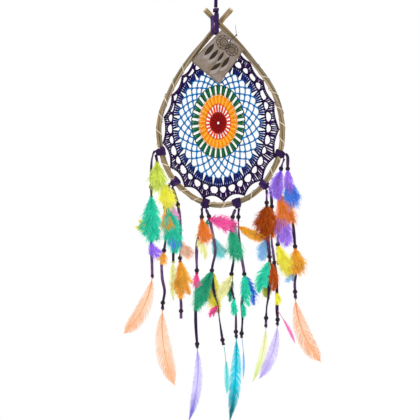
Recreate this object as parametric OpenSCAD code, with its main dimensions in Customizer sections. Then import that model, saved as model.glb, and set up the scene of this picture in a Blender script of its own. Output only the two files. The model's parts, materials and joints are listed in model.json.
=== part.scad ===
// Teardrop dream catcher: three willow rods bent to a drop and bound with a
// bark strip, a crochet web in seven yarns, a card tag, and six suede wraps
// that each carry two suede laces with wooden beads and dyed feathers.
// Millimetres. +Z is up, the front faces -Y, +X is to the viewer's right.
// The origin is the inside top of the hanging loop, where a hook carries it.

/* [Hoop] */
// Half of the drop's width, between rod centres
hoop_half_w = 105; // [90:1:125]
// Height from the crossing of the rods down to the widest place
hoop_top_h = 182; // [150:1:215]
// Depth from the widest place down to the bottom of the drop
hoop_bottom_h = 126; // [105:1:150]
// How far the drop's centre hangs to the right of the crossing
hoop_lean = 8; // [0:1:12]
// How far the rods cross to the right of the hanging knot
cross_x = 5; // [0:0.5:6]
// Diameter of one willow rod
rod_d = 4.6; // [3.6:0.1:5.6]
// Length of the crossed stick ends above the crossing
stick_len = 34; // [20:1:45]
// Full turns that the rods make round each other over the hoop
rod_turns = 3; // [0:1:5]

/* [Binding strip] */
// Width of the bark strip
strip_w = 2.2; // [1.4:0.1:3]
// Thickness of the bark strip
strip_t = 0.5; // [0.3:0.05:0.7]
// Turns of the strip round the hoop
strip_turns = 22; // [10:1:26]

/* [Suede] */
// Length of each wrap along the hoop
wrap_len = 14; // [9:0.5:18]
// Wall of the wound suede in a wrap
wrap_wall = 1.7; // [1.2:0.1:2.5]
// Diameter of a lace that stands for the flat suede strip
lace_d = 3.6; // [2.8:0.1:4]
// Height of the hanging loop above its knot
loop_h = 72; // [50:1:100]
// Width of the hanging loop between the centres of its sides
loop_w = 15; // [11:0.5:22]
// Diameter of the knot under the hanging loop
knot_d = 9.6; // [8:0.2:12]
// Height of the knot under the hanging loop
knot_h = 8.5; // [7:0.5:12]
// Width of the lashing round the crossing
lashing_w = 8; // [6:0.5:10]
// Thickness of the lashing round the crossing
lashing_t = 1.6; // [1.2:0.1:2.2]

/* [Beads] */
// Diameter of a wooden bead
bead_d = 8; // [7.2:0.1:9]
// Height of a wooden bead
bead_h = 6; // [4.5:0.1:7]

/* [Crochet web] */
// Thickness of the yarn web
web_t = 2.4; // [1.6:0.1:3.2]
// Number of stitch groups round the web
web_cells = 24; // [16:2:30]
// Half width of the dark red centre
red_half_w = 14; // [11:0.5:16]
// Half height of the dark red centre
red_half_h = 18; // [15:0.5:20]
// Radial width of the open red round at the sides
spoke_w = 6; // [4:0.5:8]
// Radial width of the orange round at the sides
orange_w = 14; // [10:0.5:16]
// Radial width of the green round at the sides
green_w = 11; // [8:0.5:12]
// Radial width of the blue net at the sides
net_w = 24; // [18:0.5:26]
// Radial width of the navy round at the sides
navy_w = 11; // [8:0.5:12]

/* [Tag] */
// Height of the card tag
tag_h = 73; // [50:1:80]
// Width of the card at its upper edge
tag_top_w = 51; // [40:1:60]
// Width of the card at its lower edge
tag_low_w = 62; // [45:1:66]
// Thickness of the card
tag_t = 0.9; // [0.6:0.1:1.4]
// Radius of the hole in the card
tag_hole_r = 2.6; // [2.2:0.1:3.2]
// Diameter of the string that carries the tag
string_d = 1; // [0.8:0.1:1.4]

/* [Feathers] */
// Thickness of the solid that stands for one small feather
fluff_t = 2.6; // [1.8:0.1:3.2]
// Thickness of the solid that stands for one long feather
plume_t = 2.4; // [1.6:0.1:3.2]
// Diameter of a feather's quill
quill_d = 2; // [1.4:0.1:2.4]

/* [Hidden] */
fit = 0.3;         // gap between pieces that only touch
side_n = 8;        // sides of a swept tube
round_n = 32;      // segments of a turned piece

lace_r = lace_d / 2;
string_r = string_d / 2;
rod_r = rod_d / 2;
rod_gap = 0.2;
// three rods lie in a triangle about the spine
rod_ring_r = (2 * rod_r + rod_gap) / sqrt(3);
bundle_r = rod_ring_r + rod_r;
strip_r = bundle_r + 0.4;            // inner radius of the strip's helix
bound_r = strip_r + strip_t;         // outer radius of the bound bundle
wrap_in_r = bound_r + 0.45;
wrap_out_r = wrap_in_r + wrap_wall;

// heights, from the inside top of the loop down
knot_top_z = -loop_h;
knot_low_z = knot_top_z - knot_h;
lash_top_z = knot_low_z - fit;
// the lashing's upper bar sits in the notch between the crossed sticks
cross_y = bundle_r + 0.25;
cross_ang = atan(hoop_half_w * PI / 2 / hoop_top_h);
lashing_x = cross_x - lashing_w / 2;    // it lies to the left of the crossing
notch = bundle_r / sin(cross_ang) + lashing_w / tan(cross_ang) + 3 * fit;
cross_z = lash_top_z - lashing_t - notch;
wide_z = cross_z - hoop_top_h;
low_z = wide_z - hoop_bottom_h;

// ---- the hoop's spine --------------------------------------------------
// one side from the crossing (t = hoop_top_h) down to the widest place (t = 0)
function side_x(s, t) = (s * hoop_half_w + hoop_lean) * cos(90 * t / hoop_top_h)
    + cross_x * sin(90 * t / hoop_top_h);
function side_p(s, t) = [side_x(s, t), 0, wide_z + t];
function bowl_p(a) = [hoop_lean + hoop_half_w * cos(a), 0, wide_z - hoop_bottom_h * sin(a)];
function bowl_t(a) = unit([-hoop_half_w * sin(a), 0, -hoop_bottom_h * cos(a)]);
function bowl_out(a) = let (t = bowl_t(a)) [-t[2], 0, t[0]];
function unit(v) = v / norm(v);

// the rods lean to the front on the way in and to the back on the way out
lean_len = 60;
function ease(d) = d >= lean_len ? 0 : pow(cos(90 * d / lean_len), 2);
side_steps = 13;
bowl_steps = 26;
stick_r = [for (k = [0:2]) 1 - k / 3];
function stick_dir(s) = unit(side_p(s, hoop_top_h) - side_p(s, hoop_top_h - 4));
spine = concat(
    [for (f = stick_r) side_p(1, hoop_top_h) + stick_dir(1) * stick_len * f + [0, -cross_y, 0]],
    [for (k = [0:side_steps])
        let (t = hoop_top_h * (1 - k / side_steps))
        side_p(1, t) + [0, -cross_y * ease(hoop_top_h - t), 0]],
    [for (k = [1:bowl_steps - 1]) bowl_p(180 * k / bowl_steps)],
    [for (k = [0:side_steps])
        let (t = hoop_top_h * k / side_steps)
        side_p(-1, t) + [0, cross_y * ease(hoop_top_h - t), 0]],
    [for (k = [2:-1:0])
        side_p(-1, hoop_top_h) + stick_dir(-1) * stick_len * stick_r[k] + [0, cross_y, 0]]);

// ---- swept tubes ---------------------------------------------------------
function tangent(p, i, loop) = let (n = len(p))
    unit(loop ? p[(i + 1) % n] - p[(i + n - 1) % n]
              : p[min(i + 1, n - 1)] - p[max(i - 1, 0)]);
// a tube through points p with radius r[i], in the plane whose normal is given
module tube(p, r, normal = [0, 1, 0], sides = side_n, loop = false) {
    n = len(p);
    rings = [for (i = [0:n - 1])
        let (t = tangent(p, i, loop), a = unit(normal - t * (normal * t)), b = cross(t, a))
        for (k = [0:sides - 1]) p[i] + r[i] * (cos(360 * k / sides) * a + sin(360 * k / sides) * b)];
    last = loop ? n - 1 : n - 2;
    walls = [for (i = [0:last], k = [0:sides - 1])
        let (j = (i + 1) % n, m = (k + 1) % sides)
        [i * sides + k, j * sides + k, j * sides + m, i * sides + m]];
    caps = loop ? [] : [[for (k = [0:sides - 1]) k], [for (k = [sides - 1:-1:0]) (n - 1) * sides + k]];
    polyhedron(rings, concat(walls, caps), convexity = 6);
}
function same(v, n) = [for (i = [0:n - 1]) v];

// ---- hoop ------------------------------------------------------------------
module rod(index) {
    n = len(spine);
    path = [for (i = [0:n - 1])
        let (a = 120 * index + 30 + 360 * rod_turns * i / (n - 1),
             t = tangent(spine, i, false), side = cross(t, [0, 1, 0]))
        spine[i] + rod_ring_r * (cos(a) * unit(side) + sin(a) * [0, 1, 0])];
    color("tan") tube(path, same(rod_r, n));
}
module rod_outer() { rod(0); }
module rod_inner() { rod(1); }
module rod_back() { rod(2); }

// the bark strip is a flat helix that starts and ends short of the crossing
strip_skip = 5;           // spine points left bare at each end
strip_per_turn = 10;
function spine_at(u) = let (i = min(floor(u), len(spine) - 2), f = u - i)
    spine[i] * (1 - f) + spine[i + 1] * f;
function spine_dir(u) = unit(spine_at(u + 0.3) - spine_at(u - 0.3));
module binding_strip() {
    n = strip_turns * strip_per_turn;
    first = strip_skip + 3;
    span = len(spine) - 1 - 2 * first;
    at = [for (i = [0:n]) first + span * i / n];
    corners = [for (i = [0:n])
        let (u = at[i], t = spine_dir(u), side = unit(cross(t, [0, 1, 0])), a = 360 * i / strip_per_turn,
             out = cos(a) * side + sin(a) * [0, 1, 0])
        for (c = [[strip_r, -1], [strip_r, 1], [bound_r, 1], [bound_r, -1]])
            spine_at(u) + out * c[0] + t * c[1] * strip_w / 2];
    walls = [for (i = [0:n - 1], k = [0:3]) let (m = (k + 1) % 4)
        each [[i * 4 + k, i * 4 + m, (i + 1) * 4 + m], [i * 4 + k, (i + 1) * 4 + m, (i + 1) * 4 + k]]];
    color("wheat") polyhedron(corners, concat(walls, [[3, 2, 1, 0], [for (k = [0:3]) n * 4 + k]]),
        convexity = 12);
}

// ---- suede wraps -----------------------------------------------------------
wrap_at = [164, 137, 104, 75, 46, 18];     // places round the bowl, in degrees
module suede_wraps() {
    color("indigo") for (a = wrap_at) {
        t = bowl_t(a);
        translate(bowl_p(a)) rotate([0, atan2(t[0], t[2]), 0]) difference() {
            cylinder(h = wrap_len, r = wrap_out_r, center = true, $fn = round_n);
            cylinder(h = wrap_len + 2, r = wrap_in_r, center = true, $fn = round_n);
        }
    }
}

// ---- hanging loop, knot and lashing ---------------------------------------
// the loop's two ends are rounded about the axis that the knot swings on
swing_z = knot_top_z + lace_r + fit;
module hanging_loop() {
    half = loop_w / 2;
    top = lace_r;
    path = [[-lace_r - 0.4, swing_z - lace_r * 0.9], [-lace_r - 0.4, swing_z],
            [-half * 0.5, swing_z + loop_h * 0.25], [-half * 0.85, swing_z + loop_h * 0.5],
            [-half, top - half * 1.5], [-half * 0.75, top - half * 0.45], [0, top],
            [half * 0.75, top - half * 0.45], [half, top - half * 1.5],
            [half * 0.85, swing_z + loop_h * 0.5], [half * 0.5, swing_z + loop_h * 0.25],
            [lace_r + 0.4, swing_z], [lace_r + 0.4, swing_z - lace_r * 0.9]];
    points = [for (p = path) [p[0], 0, p[1]]];
    color("indigo") tube(points, concat([lace_r * 0.42], same(lace_r, 11), [lace_r * 0.42]));
}
module hanging_knot() {
    color("indigo") translate([0, 0, knot_low_z]) rotate_extrude($fn = round_n)
        intersection() {
            translate([0, knot_h / 2]) circle(d = knot_d * 1.12, $fn = 48);
            square([knot_d / 2, knot_h]);
        }
}
module round_rect(w, h, r) {
    square([w - 2 * r, h], center = true);
    square([w, h - 2 * r], center = true);
    for (x = [-1, 1], y = [-1, 1]) translate([x * (w / 2 - r), y * (h / 2 - r)]) circle(r, $fn = 24);
}
module top_lashing() {
    deep = 2 * (cross_y + bundle_r + 2 * fit);
    tall = 2 * notch;
    color("indigo") translate([lashing_x, 0, cross_z]) rotate([90, 0, 90])
        linear_extrude(height = lashing_w, center = true) difference() {
            round_rect(deep + 2 * lashing_t, tall + 2 * lashing_t, 3);
            round_rect(deep, tall, 2);
        }
}

// ---- crochet web ------------------------------------------------------------
web_gap = 0.3;
web_x = hoop_lean / 2;
web_z = wide_z + hoop_top_h * 0.075;
web_n = 72;
// each round is the last one plus its width, a third wider up and down
grow = 1.32;
function ring_size(w) = [red_half_w + w, red_half_h + w * grow];
red_size = ring_size(0);
spoke_size = ring_size(spoke_w);
orange_size = ring_size(spoke_w + orange_w);
green_size = ring_size(spoke_w + orange_w + green_w);
net_size = ring_size(spoke_w + orange_w + green_w + net_w);
navy_size = ring_size(spoke_w + orange_w + green_w + net_w + navy_w);
function oval(size, gap = 0) = [for (k = [0:web_n - 1])
    let (a = 360 * k / web_n) [web_x + (size[0] + gap) * cos(a), web_z + (size[1] + gap) * sin(a)]];
module plate(outer, inner) {
    rotate([90, 0, 0]) linear_extrude(height = web_t, center = true) difference() {
        polygon(outer);
        polygon(inner);
    }
}
module web_centre() {
    hole_r = 1.2;
    color("darkred") plate(oval(red_size), oval([hole_r, hole_r * 1.4]));
}
module web_red() { color("tomato") plate(oval(spoke_size), oval(red_size, web_gap)); }
module web_orange() { color("orange") plate(oval(orange_size), oval(spoke_size, web_gap)); }
module web_green() { color("darkgreen") plate(oval(green_size), oval(orange_size, web_gap)); }
// the blue net is open: rows of lozenges between crossing yarns
net_rows = 3;
module web_blue() {
    deep = (net_size - green_size) / net_rows;
    color("steelblue") rotate([90, 0, 0]) linear_extrude(height = web_t, center = true) difference() {
        polygon(oval(net_size));
        polygon(oval(green_size, web_gap));
        for (row = [0:net_rows - 1], k = [0:web_cells - 1]) {
            a = 360 * (k + row % 2 / 2) / web_cells;
            mid = green_size + deep * (row + 0.5);
            wide = 180 / web_cells * 0.72;
            polygon([for (c = [[-0.36, 0], [0, wide], [0.36, 0], [0, -wide]])
                [web_x + (mid[0] + c[0] * deep[0]) * cos(a + c[1]),
                 web_z + (mid[1] + c[0] * deep[1]) * sin(a + c[1])]]);
        }
    }
}
module web_navy() { color("midnightblue") plate(oval(navy_size), oval(net_size, web_gap)); }
// the purple round reaches the hoop at its points and falls back between them
edge_near = bound_r + 0.35;
edge_far = edge_near + 7;
edge_cells = web_cells + 2;
web_top_t = hoop_top_h * 0.68;        // the web stops short of the crossing
function edge_gap(u) = edge_near + (edge_far - edge_near) * abs(sin(180 * edge_cells * u));
function inset(p, q, gap) = let (t = unit(q - p), c = [-t[1], t[0]]) (p + q) / 2 + c * gap;
edge_line = concat(
    [for (k = [10:-1:1]) let (p = side_p(-1, web_top_t * k / 10)) [p[0], p[2]]],
    [for (k = [40:-1:0]) let (p = bowl_p(180 * k / 40)) [p[0], p[2]]],
    [for (k = [1:10]) let (p = side_p(1, web_top_t * k / 10)) [p[0], p[2]]]);
edge_inset = [for (i = [0:len(edge_line) - 2])
    inset(edge_line[i], edge_line[i + 1], edge_gap(i / (len(edge_line) - 1)))];
module web_purple() {
    crown = [[side_x(1, web_top_t) * 0.45, wide_z + web_top_t + 4], [web_x, wide_z + web_top_t + 7],
             [side_x(-1, web_top_t) * 0.45, wide_z + web_top_t + 4]];
    color("indigo") difference() {
        plate(concat(edge_inset, crown), oval(navy_size, web_gap));
        for (a = wrap_at) translate(bowl_p(a)) rotate([0, atan2(bowl_t(a)[0], bowl_t(a)[2]), 0])
            cube([2 * (wrap_out_r + fit), web_t + 2, wrap_len + 2 * fit], center = true);
    }
}

// ---- tag ---------------------------------------------------------------------
tag_y = -(cross_y + bundle_r + tag_t / 2 + 2.6);
tag_turn = 40;             // the card hangs askew, its foot to the left
tag_hole_in = 5;           // hole centre below the card's upper edge
tag_hole_off = 2.5;        // and left of the card's middle
tag_rod_t = hoop_top_h - 25;
tag_rod = side_p(1, tag_rod_t) + [0, -cross_y * ease(hoop_top_h - tag_rod_t), 0];
tag_rod_dir = unit(side_p(1, tag_rod_t + 2) - side_p(1, tag_rod_t - 2));
tag_up = [tag_rod_dir[2], 0, -tag_rod_dir[0]];     // across the rod, away from the web
// the string is a ring that takes in the rods and crosses the card's hole
ring_r = bundle_r + string_r + 3.8;
ring_in = 2;               // ring's centre off the rods' centre, towards the web
ring_fore = 2.6;           // and towards the front
ring_mid = tag_rod - tag_up * ring_in - [0, ring_fore, 0];
tag_hole = [ring_mid[0], tag_y, ring_mid[2]]
    - tag_up * sqrt(pow(ring_r, 2) - pow(tag_y - ring_mid[1], 2));
module tag_card() {
    color("rosybrown") translate(tag_hole) rotate([0, tag_turn, 0]) rotate([90, 0, 0])
        linear_extrude(height = tag_t, center = true) difference() {
            translate([tag_hole_off, tag_hole_in]) polygon([[-tag_top_w / 2, 0], [tag_top_w / 2, 0],
                [tag_low_w / 2, -tag_h], [-tag_low_w / 2, -tag_h]]);
            circle(tag_hole_r, $fn = 32);
        }
}
module tag_string() {
    knot_r = 1.7;
    knot = ring_mid + tag_up * (ring_r + 0.6);
    tail = [for (p = [[0, 0.6], [-0.6, 6], [-1.4, 12], [-1.9, 17]]) knot + [p[0], 0, p[1]]];
    color("dimgray") {
        translate(ring_mid) rotate([0, atan2(tag_rod_dir[0], tag_rod_dir[2]), 0])
            rotate_extrude($fn = 64) translate([ring_r, 0]) circle(string_r, $fn = 16);
        translate(knot) sphere(knot_r, $fn = round_n);
        tube(tail, same(string_r * 0.8, 4), sides = 6);
    }
}

// ---- strands -------------------------------------------------------------------
// Each strand: wrap it hangs from, place along that wrap, route of the lace as
// [x, z] steps from its top, the route points that carry a bead, the small
// feathers as [place along the route, tip x, tip z, half width, layer], and the
// quills that are tied straight to the lace as [route point, tip x, tip z, half width].
strands = [
    [0, 3.5, [[0, 0], [-3.5, -7], [-6, -24], [-6, -62], [-6, -110], [-6.5, -150], [-5, -190],
             [-4.5, -214]],
        [3], [[3.3, -3, -72, 6, 1], [4.2, -23, -12, 3, 1], [5.1, 10, -24, 3.5, 1],
            [4.2, 11, -31, 3, -1]], []],
    [0, -3, [[0, 0], [2, -10], [6, -24], [12, -50], [16, -90], [17, -136], [14, -163], [10, -180],
             [11, -210], [15, -232], [12, -252], [11.5, -262]],
        [4, 6, 10], [[1.1, 5, -46, 5, 1], [2.9, 4, -39, 4, 1], [4.1, -4, -28, 3, -1],
            [6.1, -3, -18, 2, 1]], []],
    [1, 3.5, [[0, 0], [-1, -9], [1, -30], [4.5, -60], [6.5, -95], [6.5, -132]],
        [2], [[2.1, 6, -79, 4.5, -1], [2.1, 10, -26, 2, 1], [3.6, 4, -24, 3.5, 1], [5, 1, -65, 3, 0]], []],
    [1, -3.5, [[0, 0], [4, -10], [10, -30], [14, -60], [14.5, -92], [14, -121], [13, -166],
             [15.5, -198], [15.5, -211], [15.5, -224]],
        [2, 5, 8], [[4, 16, -26, 4, 1], [5.1, 0, -62, 3.5, 1], [5.1, 15, -59, 3.5, -1]], []],
    [2, 3.7, [[0, 0], [0, -15], [-3.5, -37], [-8, -59], [-9, -83], [-8.5, -106], [-9.5, -139],
             [-10.5, -177], [-10, -204], [-8, -231], [-8, -236]],
        [1, 5, 9], [[1.1, 7, -38, 5, -1], [2.7, 12, -33, 3, 1], [5.1, 2, -24, 3, 1]], []],
    [2, -3.7, [[0, 0], [5, -12], [10, -35], [14.5, -59], [15.5, -75], [10, -104], [12.5, -135],
             [19, -161], [23, -188], [28, -222], [30, -231]],
        [1, 5, 9], [[1.1, -2, -18, 2, -1], [1.1, 30, -16, 4, 1], [2.5, 15, -33, 4.5, -1], [5, -20, -66, 4, 1],
            [5, 8, -69, 6, -1], [7.1, -13, -22, 3, 1]], [[10, 4, -82, 2]]],
    [3, 5.5, [[0, 0], [-4.5, -13], [-7.5, -39], [-5.5, -72], [-3, -86], [-6.5, -110], [-6.5, -134],
             [0, -161], [1, -185], [1, -208], [1.5, -217]],
        [1, 5, 9], [[1.8, 11, -49, 5.5, 1], [1.1, -3, -61, 3, -1], [5.1, -20, -40, 4, 1],
            [5.1, -3, -44, 3, -1], [6.6, 0, -28, 3, 1]], []],
    [3, -1, [[0, 0], [-1, -15], [0.5, -54], [3, -75], [9, -112], [9, -136], [5, -161], [6, -186],
             [4.5, -213], [4.5, -221]],
        [1, 4, 8], [[1.4, 39, -22, 4, 1], [4, 8, -53, 4, 1], [4, 16, -51, 4, -1], [4, -1, -41, 3, -1],
            [6, 2, -23, 2, 1]], [[9, 2, -68, 1.6]]],
    [4, 3.5, [[0, 0], [0, -22], [1.5, -60], [3, -94], [5, -114], [5.5, -145], [3, -180], [0, -199],
             [-1, -218], [-1.5, -232]],
        [1, 4, 8], [[1.1, -7, -52, 5, 1], [1.1, 3, -50, 3, -1], [2.5, -9, -32, 5, -1],
            [4.2, -20, -51, 4, 1], [4.2, -6, -61, 4, -1], [4.2, 5, -49, 3, 1]], []],
    [4, -3.5, [[0, 0], [3, -14], [4, -34], [4, -90], [6, -108], [8.5, -129], [12, -159], [13, -189],
             [13, -209], [14, -226], [13.5, -234]],
        [2, 5, 9], [[6.7, 2, -18, 3, 1]], [[8, 30, -56, 1.8]]],
    [5, 5.5, [[0, 0], [-5.5, -17], [-6.5, -37], [-8, -95], [-11, -146], [-9.5, -181]],
        [1, 4], [[1.1, -11, -44, 6.5, 1], [2.4, 12, -48, 7, 1], [2.8, 4, -56, 6, -1],
            [4, 19, -49, 4.5, 1]], []],
    [5, -3.5, [[0, 0], [3.5, -7], [3.5, -26], [6, -62], [12.5, -121], [16, -158], [18.5, -184],
             [18, -203], [15.5, -220], [16, -235], [16.5, -245]],
        [2, 5, 9], [[2, 4, -36, 4.5, -1], [2.5, 8, -42, 6, 1], [5.1, 7, -40, 6, 1],
            [6.6, -14, -22, 3.5, -1]], []]];
// Long feathers on their own knots: strand, tip [x, z] from the lace's end,
// half width, and how far the shaft bows to the right
plumes = [[0, [-47, -94], 10, 9], [1, [20, -130], 14, -8], [4, [-14, -124], 6, 7], [6, [-11, -141], 7, 4],
          [8, [-22, -92], 4.5, 5], [9, [-30, -90], 6, 7], [11, [42, -106], 12, -9]];

function strand_top(s) = let (a = wrap_at[strands[s][0]])
    bowl_p(a) + bowl_out(a) * (wrap_out_r + fit + lace_r) + bowl_t(a) * strands[s][1];
function node_at(s, i) = let (p = strands[s][2][i]) strand_top(s) + [p[0], 0, p[1]];
function place_at(s, u) = let (i = min(floor(u), len(strands[s][2]) - 2), f = u - i)
    node_at(s, i) * (1 - f) + node_at(s, i + 1) * f;
function route(s) = [for (i = [0:len(strands[s][2]) - 1]) node_at(s, i)];

module lace(s) {
    way = route(s);
    // the top is drawn in to a round end about the point it swings on
    path = concat([way[0] + [0, 0, lace_r * 0.9]], way);
    color("indigo") tube(path, concat([lace_r * 0.42], same(lace_r, len(way))));
}
module beads(s) {
    way = route(s);
    color("#2a1a2e") for (i = strands[s][3]) {
        d = tangent(way, i, false);
        translate(way[i]) rotate([0, atan2(d[0], d[2]), 0]) rotate_extrude($fn = round_n)
            intersection() {
                circle(d = bead_d, $fn = 48);
                translate([lace_r + 0.45, -bead_h / 2]) square([bead_d, bead_h]);
            }
    }
}
// a leaf from a to b, at depth y, whose middle bows to the right
leaf_n = 8;
module leaf(a, b, half_w, y, thick, bow = 0) {
    along = [b[0] - a[0], b[1] - a[1]];
    across = unit([along[1], -along[0]]);
    function mid(u) = a + along * u - across * bow * 4 * u * (1 - u);
    function half(u) = half_w * pow(sin(180 * pow(u, 0.85)), 0.6) + 0.3;
    outline = concat([for (k = [0:leaf_n]) mid(k / leaf_n) + across * half(k / leaf_n)],
                     [for (k = [leaf_n:-1:0]) mid(k / leaf_n) - across * half(k / leaf_n)]);
    translate([0, y, 0]) rotate([90, 0, 0]) linear_extrude(height = thick, center = true) polygon(outline);
}
function layer_y(layer) = -layer * (lace_r + fit + fluff_t / 2);
module feathers(s, tone) {
    color(tone) {
        for (f = strands[s][4]) {
            p = place_at(s, f[0]);
            start = f[4] == 0 ? [p[0], p[2] - fit - 0.4] : [p[0], p[2] - bead_h / 2 - 0.8];
            leaf(start, [p[0] + f[1], p[2] + f[2]], f[3], layer_y(f[4]), fluff_t);
        }
        for (q = strands[s][5]) {
            p = node_at(s, q[0]);
            end = q[0] == len(strands[s][2]) - 1;
            start = end ? [p[0], p[2] - fit - 0.4] : [p[0] + lace_r + fit + 0.4, p[2]];
            leaf(start, [p[0] + q[1], p[2] + q[2]], q[3], 0, quill_d);
        }
    }
}
function plume_top(k) = let (s = plumes[k][0])
    node_at(s, len(strands[s][2]) - 1) + [0, 0, -fit - quill_d * 0.6];
module plume(k, tone) {
    p = plume_top(k);
    q = plumes[k];
    bare = 7;          // naked quill under the knot
    foot = [p[0], p[2] - bare];
    color(tone) {
        translate(p) sphere(d = quill_d * 1.2, $fn = round_n);
        translate([p[0], p[1], p[2] - bare - 2]) cylinder(h = bare + 2, d = quill_d, $fn = 16);
        leaf(foot, [p[0] + q[1][0], p[2] + q[1][1]], q[2], 0, plume_t, bow = q[3]);
    }
}

module lace_1() { lace(0); }
module lace_2() { lace(1); }
module lace_3() { lace(2); }
module lace_4() { lace(3); }
module lace_5() { lace(4); }
module lace_6() { lace(5); }
module lace_7() { lace(6); }
module lace_8() { lace(7); }
module lace_9() { lace(8); }
module lace_10() { lace(9); }
module lace_11() { lace(10); }
module lace_12() { lace(11); }
module beads_1() { beads(0); }
module beads_2() { beads(1); }
module beads_3() { beads(2); }
module beads_4() { beads(3); }
module beads_5() { beads(4); }
module beads_6() { beads(5); }
module beads_7() { beads(6); }
module beads_8() { beads(7); }
module beads_9() { beads(8); }
module beads_10() { beads(9); }
module beads_11() { beads(10); }
module beads_12() { beads(11); }
module feathers_1() { feathers(0, "yellowgreen"); }
module feathers_2() { feathers(1, "gold"); }
module feathers_3() { feathers(2, "mediumturquoise"); }
module feathers_4() { feathers(3, "darkorange"); }
module feathers_5() { feathers(4, "hotpink"); }
module feathers_6() { feathers(5, "mediumseagreen"); }
module feathers_7() { feathers(6, "teal"); }
module feathers_8() { feathers(7, "slateblue"); }
module feathers_9() { feathers(8, "chocolate"); }
module feathers_10() { feathers(9, "royalblue"); }
module feathers_11() { feathers(10, "mediumpurple"); }
module feathers_12() { feathers(11, "orangered"); }
module plume_1() { plume(0, "sandybrown"); }
module plume_2() { plume(1, "peachpuff"); }
module plume_5() { plume(2, "plum"); }
module plume_7() { plume(3, "darkturquoise"); }
module plume_9() { plume(4, "khaki"); }
module plume_10() { plume(5, "thistle"); }
module plume_12() { plume(6, "lightsalmon"); }

hanging_loop();
hanging_knot();
top_lashing();
rod_outer();
rod_inner();
rod_back();
binding_strip();
suede_wraps();
web_centre();
web_red();
web_orange();
web_green();
web_blue();
web_navy();
web_purple();
tag_card();
tag_string();
lace_1();
lace_2();
lace_3();
lace_4();
lace_5();
lace_6();
lace_7();
lace_8();
lace_9();
lace_10();
lace_11();
lace_12();
beads_1();
beads_2();
beads_3();
beads_4();
beads_5();
beads_6();
beads_7();
beads_8();
beads_9();
beads_10();
beads_11();
beads_12();
feathers_1();
feathers_2();
feathers_3();
feathers_4();
feathers_5();
feathers_6();
feathers_7();
feathers_8();
feathers_9();
feathers_10();
feathers_11();
feathers_12();
plume_1();
plume_2();
plume_5();
plume_7();
plume_9();
plume_10();
plume_12();
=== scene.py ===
"""A drop-shaped dream catcher: bound cane hoop, crochet web, card tag and feathered suede laces.

Lengths inside the classes are millimetres in the object's own frame; meshes are written in metres.
"""
from __future__ import annotations

import json
import logging
import math
from collections.abc import Sequence
from dataclasses import dataclass, field
from enum import Enum

import bpy
import numpy as np
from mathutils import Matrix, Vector

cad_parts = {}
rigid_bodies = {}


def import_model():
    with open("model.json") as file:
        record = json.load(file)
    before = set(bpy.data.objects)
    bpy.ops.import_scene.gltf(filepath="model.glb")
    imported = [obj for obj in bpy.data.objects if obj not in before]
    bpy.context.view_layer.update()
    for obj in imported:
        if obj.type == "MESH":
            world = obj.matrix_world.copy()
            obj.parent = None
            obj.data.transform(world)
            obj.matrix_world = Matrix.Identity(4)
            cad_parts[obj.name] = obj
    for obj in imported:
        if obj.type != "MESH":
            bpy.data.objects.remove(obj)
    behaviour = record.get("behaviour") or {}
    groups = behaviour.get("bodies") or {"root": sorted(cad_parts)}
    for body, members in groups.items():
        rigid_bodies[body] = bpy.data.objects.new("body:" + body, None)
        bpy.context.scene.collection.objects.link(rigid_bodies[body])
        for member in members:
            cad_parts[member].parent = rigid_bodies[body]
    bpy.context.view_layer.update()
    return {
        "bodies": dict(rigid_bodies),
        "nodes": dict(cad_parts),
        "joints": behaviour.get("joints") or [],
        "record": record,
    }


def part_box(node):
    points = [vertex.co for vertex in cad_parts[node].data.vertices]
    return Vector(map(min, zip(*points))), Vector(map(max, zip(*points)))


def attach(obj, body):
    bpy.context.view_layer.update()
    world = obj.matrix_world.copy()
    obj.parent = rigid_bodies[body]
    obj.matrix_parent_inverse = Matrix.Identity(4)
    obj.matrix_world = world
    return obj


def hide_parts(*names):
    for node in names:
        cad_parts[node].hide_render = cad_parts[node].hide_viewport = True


Array = np.ndarray
Tree = bpy.types.NodeTree
Socket = bpy.types.NodeSocket
Pattern = tuple[Socket, Socket | None, Socket]

LOG = logging.getLogger("dream_catcher")
MM = 0.001
RIGHT, BACK, UP = np.eye(3)
FRONT = np.array([0.0, -1.0, 0.0])


# ---------------------------------------------------------------- small helpers
def linear(hex_colour: str) -> Array:
    """Turn an sRGB hex colour such as "#8c1616" into three linear values from 0 to 1."""
    raw = np.array([int(hex_colour[i:i + 2], 16) / 255 for i in (1, 3, 5)])
    return np.where(raw <= 0.04045, raw / 12.92, ((raw + 0.055) / 1.055) ** 2.4)


def tones_of(hex_colours: Sequence[str]) -> tuple[Array, ...]:
    """Turn several sRGB hex colours into linear values."""
    return tuple(linear(c) for c in hex_colours)


def unit(vectors: Array) -> Array:
    """Scale vectors to length one along their last axis."""
    return vectors / np.maximum(np.linalg.norm(vectors, axis=-1, keepdims=True), 1e-9)


def smooth_line(points: Sequence[Sequence[float]], steps: int = 6) -> Array:
    """Run a smooth curve through points.

    Args:
        points: Places in order, each with three numbers.
        steps: Pieces that each stretch between two places is cut into.

    Returns:
        The curve's points, the given ones among them.
    """
    p = np.asarray(points, float)
    q = np.vstack([2 * p[0] - p[1], p, 2 * p[-1] - p[-2]])
    t = (np.arange(steps) / steps)[:, None]
    out = []
    for a, b, c, d in zip(q[:-3], q[1:-2], q[2:-1], q[3:]):
        out.append(0.5 * (2 * b + (c - a) * t + (2 * a - 5 * b + 4 * c - d) * t ** 2
                          + (3 * b - a - 3 * c + d) * t ** 3))
    return np.vstack(out + [p[-1:]])


def reach_along(path: Array) -> Array:
    """Measure how far along a line each of its points lies."""
    return np.concatenate([[0.0], np.cumsum(np.linalg.norm(np.diff(path, axis=0), axis=1))])


def round_angles(count: int) -> Array:
    """Give the angles of places spread evenly round a circle."""
    return np.linspace(0, 2 * math.pi, count + 1)[:-1]


def blend(low: Array, high: Array, share: Array) -> Array:
    """Mix two colours by a share of the second at each place."""
    return low + (high - low) * share[:, None]


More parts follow.
